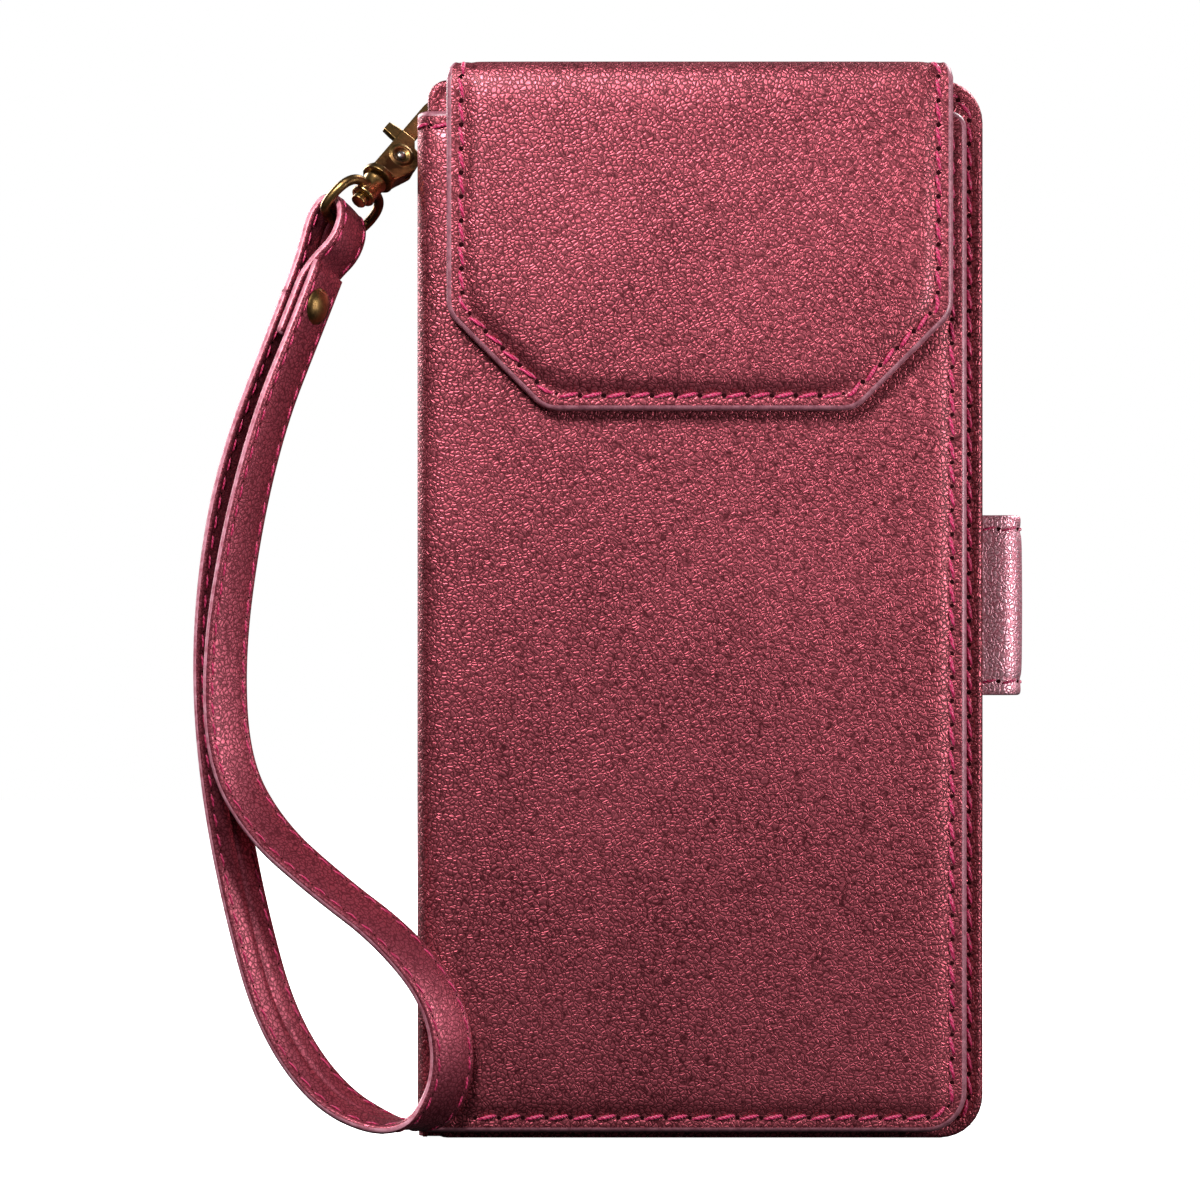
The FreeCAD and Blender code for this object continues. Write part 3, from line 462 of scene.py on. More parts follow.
def seam(name, path, ups, pitch=3.6, thick=0.34, slant=0.32, rise=0.2, hole=0.52):
    """A row of stitches along a path on a surface. ups are the surface's outward directions at the path's
    points."""
    along = travelled(path)
    count = max(1, round(along[-1] / pitch))
    pitch = along[-1] / count

    def at(where):
        spot = np.array([np.interp(where, along, path[:, axis]) for axis in range(3)])
        up = np.array([np.interp(where, along, ups[:, axis]) for axis in range(3)])
        ahead = np.array([np.interp(min(where + 0.2, along[-1]), along, path[:, axis]) for axis in range(3)])
        behind = np.array([np.interp(max(where - 0.2, 0), along, path[:, axis]) for axis in range(3)])
        way = ahead - behind
        way /= np.linalg.norm(way)
        up -= way * (up @ way)
        up /= np.linalg.norm(up)
        return spot, up, way, np.cross(way, up)

    points, faces = [], []
    for number in range(count):
        rings = []
        for share in np.linspace(0, 1, STITCH_SECTIONS):
            spot, up, way, side = at((number + 0.1 + 0.8 * share) * pitch)
            arch = math.sin(math.pi * share)
            middle = spot + up * (rise * arch ** 0.6 - 0.1 * (1 - arch)) + side * slant * (1 - 2 * share)
            radius = thick * (0.55 + 0.45 * arch)
            wide, high = side * radius, up * radius * 0.85
            rings.append(np.array([middle + wide * cos + high * sin for cos, sin in around(STITCH_SIDES)]))
        base = len(points)
        piece_points, piece_faces, _ = ring_shell(rings)
        points += list(piece_points)
        faces += [tuple(base + corner for corner in face) for face in piece_faces]
    numbers = [0] * len(faces)
    for number in range(count + 1):
        spot, up, way, side = at(number * pitch)
        base = len(points)
        for long, wide, lift in HOLE_RIMS:
            for cos, sin in around(HOLE_SIDES):
                points.append(spot + way * hole * long * cos + side * hole * wide * sin + up * lift)
        inner = base + HOLE_SIDES
        for corner in range(HOLE_SIDES):
            after = (corner + 1) % HOLE_SIDES
            faces.append((base + corner, base + after, inner + after, inner + corner))
        # The inner disc is a flat cap in the painted-shade material, which stands for the dark inside of the
        # hole.
        faces.append(tuple(range(inner, inner + HOLE_SIDES)))
        numbers += [1] * (HOLE_SIDES + 1)
    return mesh_object(name, points, faces, [THREAD, PAINTED_HOLE_SHADE], numbers)


def flat_seam(name, flat_path, bend, depth=0.0, **settings):
    """A seam drawn on a flat pattern and bent with it."""
    flat = densified(np.asarray(flat_path, float))
    path = bend(flat, np.full(len(flat), depth))
    ups = path - bend(flat, np.full(len(flat), depth + 0.5))
    return seam(name, path, ups / np.linalg.norm(ups, axis=1)[:, None], **settings)


def dense_run(run, ups, step=0.4):
    """A run with points at most step apart, and its outward directions there."""
    points, ways = [run[0]], [ups[0]]
    for number in range(len(run) - 1):
        pieces = max(1, math.ceil(np.linalg.norm(run[number + 1] - run[number]) / step))
        for part in range(1, pieces + 1):
            share = part / pieces
            points.append(run[number] * (1 - share) + run[number + 1] * share)
            ways.append(ups[number] * (1 - share) + ups[number + 1] * share)
    return np.array(points), np.array(ways)


def densified(path):
    """A path with more points between its own."""
    return dense_run(path, path)[0]


def joined(name, things):
    """Several mesh objects made into the first of them."""
    with bpy.context.temp_override(
        active_object=things[0], object=things[0], selected_objects=things, selected_editable_objects=things
    ):
        bpy.ops.object.join()
    things[0].name = name
    return things[0]


def applied(thing):
    """The object with its modifiers applied."""
    bpy.context.view_layer.update()
    result = bpy.data.meshes.new_from_object(thing.evaluated_get(bpy.context.evaluated_depsgraph_get()))
    thing.modifiers.clear()
    thing.data = result
    return thing


def front_bend(level):
    """Puts flat points in the plane y = level, with depth towards the rear."""
    return lambda flat, depth: np.column_stack([flat[:, 0], level + depth, flat[:, 1]])


def rear_bend(level):
    """The same for a surface that faces the rear."""
    return lambda flat, depth: np.column_stack([flat[:, 0], level - depth, flat[:, 1]])


def rounded_panel(name, corners, radii, profile, bend, material, closed_path=False):
    """A flat panel whose edge follows a profile of (inset, depth) from its rear middle to its front middle.
    With closed_path it is a frame whose section is the profile."""
    rings = []
    for inset, depth in profile:
        flat = outline(corners, radii, inset)
        rings.append(bend(flat, np.full(len(flat), depth)))
    points, faces, _ = ring_shell(rings, closed_path=closed_path)
    return mesh_object(name, points, faces, [material])


# ---- covers ----

COVER_HALF = 42.1
COVER_HIGH = 160.5
COVER_CORNERS = [(-COVER_HALF, 0), (COVER_HALF, 0), (COVER_HALF, COVER_HIGH), (-COVER_HALF, COVER_HIGH)]
COVER_RADII = [3.0, 6.5, 6.5, 3.0]
FRONT_LEVEL = -17.2
BACK_LEVEL = 1.5
SKIN_DEPTH = 2.2
STITCH_INSET = 2.1
SEAM_DEPTH = 0.18
# The skin's section: over the rounded edge, a fold's ridge just inside it, and the stitches' dip.
SKIN_PROFILE = [
    (1.8, SKIN_DEPTH), (0.3, SKIN_DEPTH), (0.0, SKIN_DEPTH - 0.3), (0.0, 0.7), (0.06, 0.38),
    (0.22, 0.14), (0.45, 0.0), (0.75, -0.03), (1.1, 0.04), (1.6, 0.1), (2.1, 0.22), (2.6, 0.1),
    (3.2, 0.02), (4.2, 0.0), (9.0, 0.0),
]


def open_loop(corners, radii, inset, keep):
    """The part of an outline for which keep is true, as one run."""
    points = outline(corners, radii, inset)
    flags = [keep(point) for point in points]
    first = next(number for number in range(len(points)) if flags[number] and not flags[number - 1])
    order = [(first + step) % len(points) for step in range(len(points))]
    return np.array([points[number] for number in order if flags[number]])


def front_cover():
    """The front cover's skin with its stitches."""
    bend = front_bend(FRONT_LEVEL)
    skin = rounded_panel("front_skin", COVER_CORNERS, COVER_RADII, SKIN_PROFILE, bend, LEATHER)
    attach(skin, "front_cover")
    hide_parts("front_leather")
    run = open_loop(COVER_CORNERS, COVER_RADII, STITCH_INSET, lambda point: point[0] > -COVER_HALF + 3.0)
    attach(flat_seam("front_stitches", run, bend, SEAM_DEPTH), "front_cover")


POCKET_SIDE, POCKET_LOW = 31.7, 9.4
# The card pockets' tops, and the level of each pocket's face.
POCKET_TOPS = [(104.0, -12.9), (89.0, -12.25), (74.0, -11.6)]


def pocket_stitches():
    """Stitches down both sides of the stepped card pockets and along their bottom."""
    down = []
    for number, (top, level) in enumerate(POCKET_TOPS):
        low = POCKET_TOPS[number + 1][0] if number + 1 < len(POCKET_TOPS) else POCKET_LOW
        down += [(level, top - 0.6), (level, low + 0.3)]
    run = [(-POCKET_SIDE, *spot) for spot in down] + [(POCKET_SIDE, *spot) for spot in down[::-1]]
    spots = densified(np.array(run))
    ups = np.tile((0.0, 1.0, 0.0), (len(spots), 1))
    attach(seam("pocket_stitches", spots, ups, thick=0.14, rise=0.08), "front_cover")


CAMERA_CORNERS = [(3.0, 116.0), (33.0, 116.0), (33.0, 146.0), (3.0, 146.0)]
CAMERA_RADII = [7.0] * 4
CUTTER_PROFILE = [(0.0, 6.0), (0.0, -6.0)]
RIM_PROFILE = [(0.0, 2.2), (0.0, -0.05), (-0.25, -0.28), (-0.7, -0.34), (-1.1, -0.2), (-1.3, 0.05)]
WINDOW_STITCH_INSET = -2.6


def back_cover():
    """The back cover's skin with the camera's window, its rim and the stitches."""
    bend = rear_bend(BACK_LEVEL)
    skin = rounded_panel("back_skin", COVER_CORNERS, COVER_RADII, SKIN_PROFILE, bend, LEATHER)
    cutter = rounded_panel("window_cutter", CAMERA_CORNERS, CAMERA_RADII, CUTTER_PROFILE, bend, LEATHER)
    hole = skin.modifiers.new("window", "BOOLEAN")
    hole.operation = "DIFFERENCE"
    hole.solver = "EXACT"
    hole.object = cutter
    applied(skin)
    bpy.data.objects.remove(cutter)
    skin.data.set_sharp_from_angle(angle=math.radians(40))
    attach(skin, "back_cover")
    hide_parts("back_leather")
    rim = rounded_panel(
        "window_rim", CAMERA_CORNERS, CAMERA_RADII, RIM_PROFILE, bend, PAINT, closed_path=True
    )
    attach(rim, "back_cover")
    loop = outline(COVER_CORNERS, COVER_RADII, STITCH_INSET)
    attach(flat_seam("back_stitches", closed(loop), bend, SEAM_DEPTH), "back_cover")
    window = outline(CAMERA_CORNERS, CAMERA_RADII, WINDOW_STITCH_INSET)
    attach(flat_seam("window_stitches", closed(window), bend), "back_cover")


def closed(loop):
    """A loop with its first point again at its end."""
    return np.concatenate([loop, loop[:1]])


# ---- spine ----

SPINE_OUT = -43.55
SPINE_MIDDLE = -7.9
SPINE_FRONT_TOP, SPINE_REAR_TOP = 142.8, 131.5
SPINE_NEAR, SPINE_FAR = -14.9, -0.9


def spine_top(level):
    """The spine's height at a y, which slopes down to the rear."""
    share = np.clip((level - SPINE_NEAR) / (SPINE_FAR - SPINE_NEAR), 0, 1)
    return SPINE_FRONT_TOP + (SPINE_REAR_TOP - SPINE_FRONT_TOP) * share


SPINE_SKIN = 0.55
SPINE_FOOT = 0.3


def spine_half(name, level, node):
    """Half of the spine's skin, from the cover's outer face round the crease to the spine's middle. level
    is the cover's outer face."""
    toward = 1 if level > SPINE_MIDDLE else -1
    line = [
        (-39.5, level - toward * 0.05),
        (-40.8, level + toward * 0.06),
        (-41.9, level + toward * 0.02),
        (-42.7, level - toward * 0.25),
        (-43.25, level - toward * 0.8),
        (-43.52, level - toward * 1.5),
        (-43.3, level - toward * 2.1),
        (-43.42, level - toward * 2.8),
        (SPINE_OUT - 0.02, level - toward * 3.7),
        (SPINE_OUT - 0.05, (level - toward * 3.7 + SPINE_MIDDLE) / 2),
        (SPINE_OUT - 0.05, SPINE_MIDDLE),
    ]
    line = np.array(line)
    ways = directions(line)
    inward = np.column_stack([-ways[:, 1], ways[:, 0]])
    inward *= np.sign(inward[-1, 0])
    inner = line + inward * SPINE_SKIN
    section = np.concatenate([line, inner[::-1]])
    tops = spine_top(section[:, 1])
    rings = []
    for share in np.linspace(0, 1, 60):
        squeeze = 0.05 * (smooth_step(share, 0.0, 0.006) * smooth_step(1 - share, 0.0, 0.006) - 1)
        heights = SPINE_FOOT + (tops - SPINE_FOOT) * share
        rings.append(np.column_stack([section[:, 0] - squeeze, section[:, 1], heights]))
    points, faces, _ = ring_shell(rings)
    half = mesh_object(name, points, faces, [LEATHER])
    half.data.set_sharp_from_angle(angle=math.radians(50))
    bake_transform(half)
    if node:
        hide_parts(node)


# ---- pouch ----

POUCH_LEFT, POUCH_RIGHT, POUCH_LOW, POUCH_TOP = -43.5, 39.2, 1.5, 155.2
POUCH_LEVEL = -24.7
SIDE_RADIUS = 3.2
SIDE_START = POUCH_LEFT + SIDE_RADIUS
SIDE_TURN = SIDE_RADIUS * math.pi / 2
SIDE_REACH = FRONT_LEVEL - 0.1 - (POUCH_LEVEL + SIDE_RADIUS)
POUCH_FLAT_LEFT = SIDE_START - SIDE_TURN - SIDE_REACH
POUCH_RADII = [0.6, 6.2, 2.6, 0.6]
PAD_STITCH_INSET = 2.25


def rolled(past, radius):
    """Travel and fall of a strip bent through a right angle, and the surface's tilt, by how far past the
    bend's start a point is."""
    angle = np.clip(past / radius, 0, math.pi / 2)
    over = np.maximum(past - radius * math.pi / 2, 0)
    return radius * np.sin(angle), radius * (1 - np.cos(angle)) + over, angle


def pouch_bend(flat, depth):
    """The pouch's front, with its left side rolled back to the cover."""
    past = np.maximum(SIDE_START - flat[:, 0], 0)
    travel, fall, angle = rolled(past, SIDE_RADIUS)
    across = np.where(past > 0, SIDE_START - travel + depth * np.sin(angle), flat[:, 0])
    level = POUCH_LEVEL + fall + depth * np.cos(angle)
    return np.column_stack([across, level, flat[:, 1]])


def pouch():
    """The padded pouch front with its hem and stitches."""
    corners = [
        (POUCH_FLAT_LEFT, POUCH_LOW),
        (POUCH_RIGHT, POUCH_LOW),
        (POUCH_RIGHT, POUCH_TOP),
        (POUCH_FLAT_LEFT, POUCH_TOP),
    ]
    walls = [
        ((POUCH_RIGHT, 0), (-1, 0)),
        ((0, POUCH_LOW), (0, 1)),
        ((0, POUCH_TOP), (0, -1)),
    ]

    def thick(flat):
        return 1.2 + 1.3 * smooth_step(flat[:, 0], SIDE_START - 1.0, SIDE_START + 2.5)

    def lift(flat):
        return smooth_step(flat[:, 0], SIDE_START - 6.0, SIDE_START + 6.0)

    materials = [LEATHER, PAINT, LINING]
    panel = padded_panel(
        "pouch_front", corners, POUCH_RADII, walls, thick, lift, pouch_bend, materials, crown=0.62
    )
    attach(panel, "front_cover")
    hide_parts("pouch_leather", "pouch_foam", "pouch_lining", "pouch_left_wall")
    loop = outline(corners, POUCH_RADII, PAD_STITCH_INSET)
    start = next(i for i, point in enumerate(loop) if point[0] > -34.8 and point[1] < 20)
    end = max(i for i, point in enumerate(loop) if point[1] > POUCH_TOP - 3 and point[0] > -46.0)
    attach(flat_seam("pouch_stitches", loop[start:end + 1], pouch_bend, 0.1), "front_cover")


# ---- flap ----

FLAP_LEFT, FLAP_RIGHT, FLAP_LOW, FLAP_TOP = -39.0, 37.0, 110.0, 162.4
FLAP_CHAMFER = 14.6
FLAP_LEVEL = -28.0
FOLD_RADIUS = 2.4
FOLD_START = FLAP_TOP - FOLD_RADIUS
FOLD_TURN = FOLD_RADIUS * math.pi / 2
BRIDGE_MIDDLE = -21.6
FLAP_FLAT_TOP = FOLD_START + FOLD_TURN + (BRIDGE_MIDDLE - (FLAP_LEVEL + FOLD_RADIUS))
FLAP_WAIST = 0.7


def flap_bend(flat, depth):
    """The flap's front, rolled back over the pouch's mouth at its top."""
    past = np.maximum(flat[:, 1] - FOLD_START, 0)
    travel, fall, angle = rolled(past, FOLD_RADIUS)
    height = np.where(past > 0, FOLD_START + travel - depth * np.sin(angle), flat[:, 1])
    level = FLAP_LEVEL + fall + depth * np.cos(angle)
    middle = (FLAP_LEFT + FLAP_RIGHT) / 2
    half = (FLAP_RIGHT - FLAP_LEFT) / 2
    pull = FLAP_WAIST * smooth_step(past, 0.4, FOLD_TURN) / half
    return np.column_stack([flat[:, 0] - (flat[:, 0] - middle) * pull, level, height])


def flap():
    """The padded flap with its stitches, as far as the middle of the bridge."""
    corners = [
        (FLAP_LEFT, FLAP_LOW + FLAP_CHAMFER),
        (FLAP_LEFT + FLAP_CHAMFER, FLAP_LOW),
        (FLAP_RIGHT - FLAP_CHAMFER, FLAP_LOW),
        (FLAP_RIGHT, FLAP_LOW + FLAP_CHAMFER),
        (FLAP_RIGHT, FLAP_FLAT_TOP),
        (FLAP_LEFT, FLAP_FLAT_TOP),
    ]
    radii = [5.0, 5.0, 5.0, 5.0, 0.3, 0.3]
    walls = [
        ((FLAP_LEFT, 0), (1, 0)),
        ((FLAP_RIGHT, 0), (-1, 0)),
        ((0, FLAP_LOW), (0, 1)),
        ((FLAP_LEFT, FLAP_LOW + FLAP_CHAMFER), (1, 1)),
        ((FLAP_RIGHT, FLAP_LOW + FLAP_CHAMFER), (-1, 1)),
    ]

    def thick(flat):
        return 1.35 + 1.45 * (1 - smooth_step(flat[:, 1], FOLD_START - 5.0, FOLD_START + 0.5))

    def lift(flat):
        return 1 - 0.9 * smooth_step(flat[:, 1], FOLD_START - 3.5, FOLD_START + 3.0)

    panel = padded_panel(
        "flap_front", corners, radii, walls, thick, lift, flap_bend, [LEATHER, PAINT, LINING], crown=0.95
    )
    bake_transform(panel)
    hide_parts("flap_leather", "flap_foam", "flap_lining", "bridge_leather")
    run = open_loop(corners, radii, PAD_STITCH_INSET, lambda point: point[1] < FLAP_FLAT_TOP - 2.4)
    stitches = flat_seam("flap_stitches", run, flap_bend, 0.1)
    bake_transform(stitches)


HINGE_RADIUS = 1.5
HINGE_LEVEL = -17.25
HINGE_DROP = 6.0
# How far the hinge's top corners are rounded: inset and drop.
HINGE_CORNER = [(0.35, 0.0), (0.1, 0.12), (0.0, 0.35)]


def flap_hinge():
    """The rear half of the bridge, which turns down behind the pouch to the anchor."""
    turn_level, turn_height = HINGE_LEVEL - HINGE_RADIUS, FLAP_TOP - HINGE_RADIUS
    path = [(level, FLAP_TOP) for level in np.linspace(BRIDGE_MIDDLE, turn_level, 8)]
    for angle in np.linspace(0, math.pi / 2, 9)[1:]:
        rearward, up = HINGE_RADIUS * math.sin(angle), HINGE_RADIUS * math.cos(angle)
        path.append((turn_level + rearward, turn_height + up))
    path += [(HINGE_LEVEL, height) for height in np.linspace(turn_height, turn_height - HINGE_DROP, 6)[1:]]
    path = np.array(path)
    ways = directions(path)
    inward = np.column_stack([ways[:, 1], -ways[:, 0]])
    inward *= -np.sign(inward[0, 1])
    depths = np.interp(np.arange(len(path)), [0, 8, 16], [1.35, 1.2, 0.7])
    left, right = FLAP_LEFT + FLAP_WAIST, FLAP_RIGHT - FLAP_WAIST
    rings = []
    for (level, height), depth, (back, down) in zip(path, depths, inward):
        section = [(left + inset, drop) for inset, drop in reversed(HINGE_CORNER)]
        section += [(right - inset, drop) for inset, drop in HINGE_CORNER]
        section += [(right, depth - 0.2), (right - 0.3, depth), (left + 0.3, depth), (left, depth - 0.2)]
        ring = [(across, level + back * drop, height + down * drop) for across, drop in section]
        rings.append(np.array(ring))
    points, faces, _ = ring_shell(rings)
    numbers = []
    size = len(rings[0])
    for face in faces:
        spots = sorted({corner % size for corner in face})
        numbers.append(0 if spots in ([2, 3],) else 2 if spots == [7, 8] else 1)
    hinge = mesh_object("flap_hinge", points, faces, [LEATHER, PAINT, LINING], numbers)
    hinge.data.set_sharp_from_angle(angle=math.radians(50))
    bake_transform(hinge)
    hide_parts("bridge_lining")


# ---- closure strap ----

CLOSURE_LOW, CLOSURE_HIGH = 66.9, 94.7
ROOT_LEVEL, SIDE_LEVEL = -0.2, 3.2
FOLD_MIDDLE = 46.4
SIDE_HALF = 1.3
TIP_START, TIP_END, TIP_RADIUS = 31.0, 1.95, 5.0
# The strip's half thickness as a share, by height over its edge. The stitches lie in the dip.
CLOSURE_HEIGHTS = (0.0, 0.12, 0.4, 0.9, 1.6, 2.1, 2.6, 3.2, 4.0, 5.5, 8.0)
CLOSURE_PUFFS = (0.5, 0.72, 0.86, 0.9, 0.86, 0.72, 0.8, 0.94, 1.01, 1.05, 1.07)
CLOSURE_CROWN = 1.1
CLOSURE_SEAM = dict(thick=0.22, pitch=3.3)
CLOSURE_FACES = (("out", 1), ("in", -1))


def closure_strip(name, line, halves, end_radius=0.0):
    """A padded strip along a line in the XY plane, with half thicknesses along it. Its last end may be
    rounded."""
    line, halves = np.array(line, float), np.array(halves, float)
    ways = directions(line)
    sides = np.column_stack([ways[:, 1], -ways[:, 0]])
    along = travelled(line)
    left = along[-1] - along
    fats = [*CLOSURE_PUFFS, CLOSURE_CROWN, *CLOSURE_PUFFS[::-1]]
    rings = []
    for number in range(len(line)):
        cut = 0.0
        if left[number] < end_radius:
            cut = end_radius - math.sqrt(max(end_radius**2 - (end_radius - left[number]) ** 2, 0))
        bottom, top = CLOSURE_LOW + cut, CLOSURE_HIGH - cut
        ups = [bottom + value for value in CLOSURE_HEIGHTS] + [(top + bottom) / 2]
        ups += [top - value for value in CLOSURE_HEIGHTS[::-1]]
        ring = []
        for way, order in ((1, 1), (-1, -1)):
            for up, fat in list(zip(ups, fats))[::order]:
                off = line[number] + sides[number] * way * halves[number] * fat
                ring.append((*off, np.clip(up, bottom, top)))
        rings.append(np.array(ring))
    points, faces, _ = ring_shell(rings)
    size = len(rings[0])
    low_edge = {0, 1, size - 1, size - 2}
    high_edge = {(corner + size // 2) % size for corner in low_edge}
    numbers = []
    for face in faces:
        spots = {corner % size for corner in face}
        numbers.append(1 if spots <= low_edge or spots <= high_edge else 0)
    numbers[-1] = numbers[-2] = 1
    # The strip's faces take the leather whose pale colour is a painted highlight.
    strip = mesh_object(name, points, faces, [CLOSURE_LEATHER_HIGHLIGHT, PAINT], numbers)
    strip.data.set_sharp_from_angle(angle=math.radians(55))
    return strip, line, sides, halves


def closure_fold():
    """The closure strap's root, fold and side in one piece, with its stitches."""
    radius, centre = (SIDE_LEVEL - ROOT_LEVEL) / 2, (SIDE_LEVEL + ROOT_LEVEL) / 2
    line, halves = [], []
    for across in np.linspace(40.0, FOLD_MIDDLE, 7):
        line.append((across, ROOT_LEVEL))
        halves.append(0.5 + 0.55 * float(smooth_step(across, 42.2, FOLD_MIDDLE)))
    for angle in np.linspace(-90, 90, 15)[1:]:
        radians = math.radians(angle)
        line.append((FOLD_MIDDLE + radius * math.cos(radians), centre + radius * math.sin(radians)))
        halves.append(1.05 + 0.25 * (angle + 90) / 180)
    for across in np.linspace(FOLD_MIDDLE, TIP_START, 10)[1:]:
        line.append((across, SIDE_LEVEL))
        halves.append(SIDE_HALF)
    strip, path, sides, fat = closure_strip("closure_fold_strip", line, halves)
    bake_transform(strip)
    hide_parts("closure_root", "closure_leather", "closure_filler", "closure_facing")
    parts = []
    for number, height in enumerate((CLOSURE_LOW + STITCH_INSET, CLOSURE_HIGH - STITCH_INSET)):
        for face, way in CLOSURE_FACES:
            spots = path[2:] + way * sides[2:] * (fat[2:] * 0.74)[:, None]
            run = np.column_stack([spots, np.full(len(spots), height)])
            ups = np.column_stack([way * sides[2:], np.zeros(len(spots))])
            parts.append(seam(f"closure_row_{number}_{face}", *dense_run(run, ups), **CLOSURE_SEAM))
    rows = joined("closure_fold_stitches", parts)
    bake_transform(rows)


def closure_tip():
    """The closure strap's magnetic tip with its stitches."""
    line = [(across, SIDE_LEVEL) for across in np.linspace(TIP_START, TIP_END, 30)]
    tip, _, _, _ = closure_strip("closure_tip_strip", line, [SIDE_HALF] * len(line), TIP_RADIUS)
    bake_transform(tip)
    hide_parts("tip_leather", "tip_filler", "tip_facing")
    turn = 3.2
    low, high = CLOSURE_LOW + STITCH_INSET + turn, CLOSURE_HIGH - STITCH_INSET - turn
    left = TIP_END + STITCH_INSET + turn
    run = [(TIP_START, low - turn), (left, low - turn)]
    run += [(left - turn * math.sin(a), low - turn * math.cos(a)) for a in np.linspace(0.2, 1.57, 6)]
    run += [(left - turn * math.cos(a), high + turn * math.sin(a)) for a in np.linspace(0, 1.57, 6)]
    run += [(TIP_START, high + turn)]
    parts = []
    for face, way in CLOSURE_FACES:
        level = SIDE_LEVEL + way * 0.96
        spots = densified(np.array([(across, level, height) for across, height in run]))
        ups = np.tile((0.0, way, 0.0), (len(spots), 1))
        parts.append(seam(f"tip_row_{face}", spots, ups, **CLOSURE_SEAM))
    rows = joined("closure_tip_stitches", parts)
    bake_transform(rows)


# ---- strap ----


def unit(*values):
    """A direction of length one."""
    way = np.array(values, float)
    return way / np.linalg.norm(way)


RING_POINT = np.array((-39.5, -9.4, 154.8))
LEAN = math.radians(33)
CLASP_UP = unit(0.614 * math.cos(LEAN), math.sin(LEAN), 0.789 * math.cos(LEAN))
CLASP_ACROSS = unit(0.789, 0, -0.614)
CLASP_FACE = np.cross(CLASP_ACROSS, CLASP_UP)
COLLAR = RING_POINT - CLASP_UP * 16.0 - CLASP_ACROSS * 2.2
BAIL_DOWN = unit(-0.692, 0, -0.722)
BAR_WAY = unit(0.4216, 0.8131, -0.4015)
BAIL_EYE = COLLAR - CLASP_UP * 2.75
BAR = BAIL_EYE + BAIL_DOWN * 7.0
STRAP_DOWN = unit(-0.332, -0.275, -0.903)
STRAP_BACK = unit(*np.cross(BAR_WAY, STRAP_DOWN))
LEG_WAY = unit(0.75, 0.66, 0.0)
LAYER_PITCH = 1.65
RIVET_REACH = 13.96
STRAP_HALF, STRAP_THIN = 4.0, 0.7


def on_strap(down, back):
    """A point in the strap's own plane under the bar."""
    return BAR + STRAP_DOWN * down + STRAP_BACK * back


STRAP_ROUTE = [
    on_strap(8.0, -LAYER_PITCH),
    on_strap(17.5, -LAYER_PITCH),
    (-65.6, -28.2, 108.5),
    (-69.8, -28.6, 91.5),
    (-72.4, -28.7, 73.0),
    (-71.6, -28.9, 57.0),
    (-66.0, -29.1, 47.0),
    (-57.0, -29.3, 39.0),
    (-46.5, -29.5, 31.0),
    (-39.1, -29.5, 21.5),
    (-37.6, -29.5, 11.0),
    (-41.0, -29.3, 3.6),
    (-48.0, -28.8, 2.6),
    (-57.0, -27.8, 7.4),
    (-64.6, -26.8, 18.5),
    (-69.2, -26.0, 35.0),
    (-72.5, -25.8, 52.0),
    (-74.1, -25.7, 70.0),
    (-73.3, -25.7, 87.0),
    (-70.4, -25.6, 103.0),
    on_strap(20.0, LAYER_PITCH),
    on_strap(RIVET_REACH, LAYER_PITCH),
]
FOLD_ROUTE = [
    on_strap(RIVET_REACH, LAYER_PITCH),
    on_strap(9.0, LAYER_PITCH),
    on_strap(4.5, 2.2),
    on_strap(0.5, 2.6),
    on_strap(-2.3, 1.6),
    on_strap(-2.5, -1.2),
    on_strap(0.2, -2.9),
    on_strap(4.0, -3.0),
    on_strap(7.2, -1.2),
    on_strap(10.5, 0.0),
    on_strap(14.0, 0.0),
    on_strap(20.3, 0.0),
]


def nurbs_points(route, fine, cyclic=False):
    """Points along the smooth line that has the route as its control points. A cyclic one closes on
    itself."""
    data = bpy.data.curves.new("guide", "CURVE")
    data.dimensions = "3D"
    spline = data.splines.new("NURBS")
    spline.points.add(len(route) - 1)
    for point, place in zip(spline.points, route):
        point.co = (*(np.asarray(place, float) * MM), 1.0)
    spline.order_u = 3
    spline.use_endpoint_u = not cyclic
    spline.use_cyclic_u = cyclic
    spline.resolution_u = fine
    thing = bpy.data.objects.new("guide", data)
    bpy.context.scene.collection.objects.link(thing)
    bpy.context.view_layer.update()
    mesh = bpy.data.meshes.new_from_object(thing.evaluated_get(bpy.context.evaluated_depsgraph_get()))
    points = np.array([vertex.co for vertex in mesh.vertices]) / MM
    bpy.data.meshes.remove(mesh)
    bpy.data.objects.remove(thing)
    return points


# The strip's section from its outer face round to its inner one: across and out of the face. The inner face
# has a seam down its middle, where the turned edges meet.
STRIP_SECTION = [
    (-STRAP_HALF, 0.0), (-3.94, 0.34), (-3.72, 0.6), (-3.35, 0.69), (-2.95, 0.6), (-2.5, 0.7), (-1.2, 0.76),
    (0.0, 0.78), (1.2, 0.76), (2.5, 0.7), (2.95, 0.6), (3.35, 0.69), (3.72, 0.6), (3.94, 0.34),
    (STRAP_HALF, 0.0),
    (3.94, -0.34), (3.72, -0.6), (3.35, -0.69), (2.95, -0.6), (2.5, -0.68), (1.2, -0.72), (0.25, -0.73),
    (0.0, -0.5), (-0.25, -0.73), (-1.2, -0.72), (-2.5, -0.68), (-2.95, -0.6), (-3.35, -0.69), (-3.72, -0.6),
    (-3.94, -0.34),
]

# The section's steps that lie on the two cut edges.
STRIP_EDGES = {0, 13, 14, len(STRIP_SECTION) - 1}


def strip_frames(path, turned):
    """The strip's across and outward directions along a path. turned is how far each point is from the
    bar's way to the legs' way."""
    ways = directions(path)
    across = BAR_WAY * (1 - turned)[:, None] + LEG_WAY * turned[:, None]
    across -= ways * (across * ways).sum(1)[:, None]
    across /= np.linalg.norm(across, axis=1)[:, None]
    return across, np.cross(ways, across)


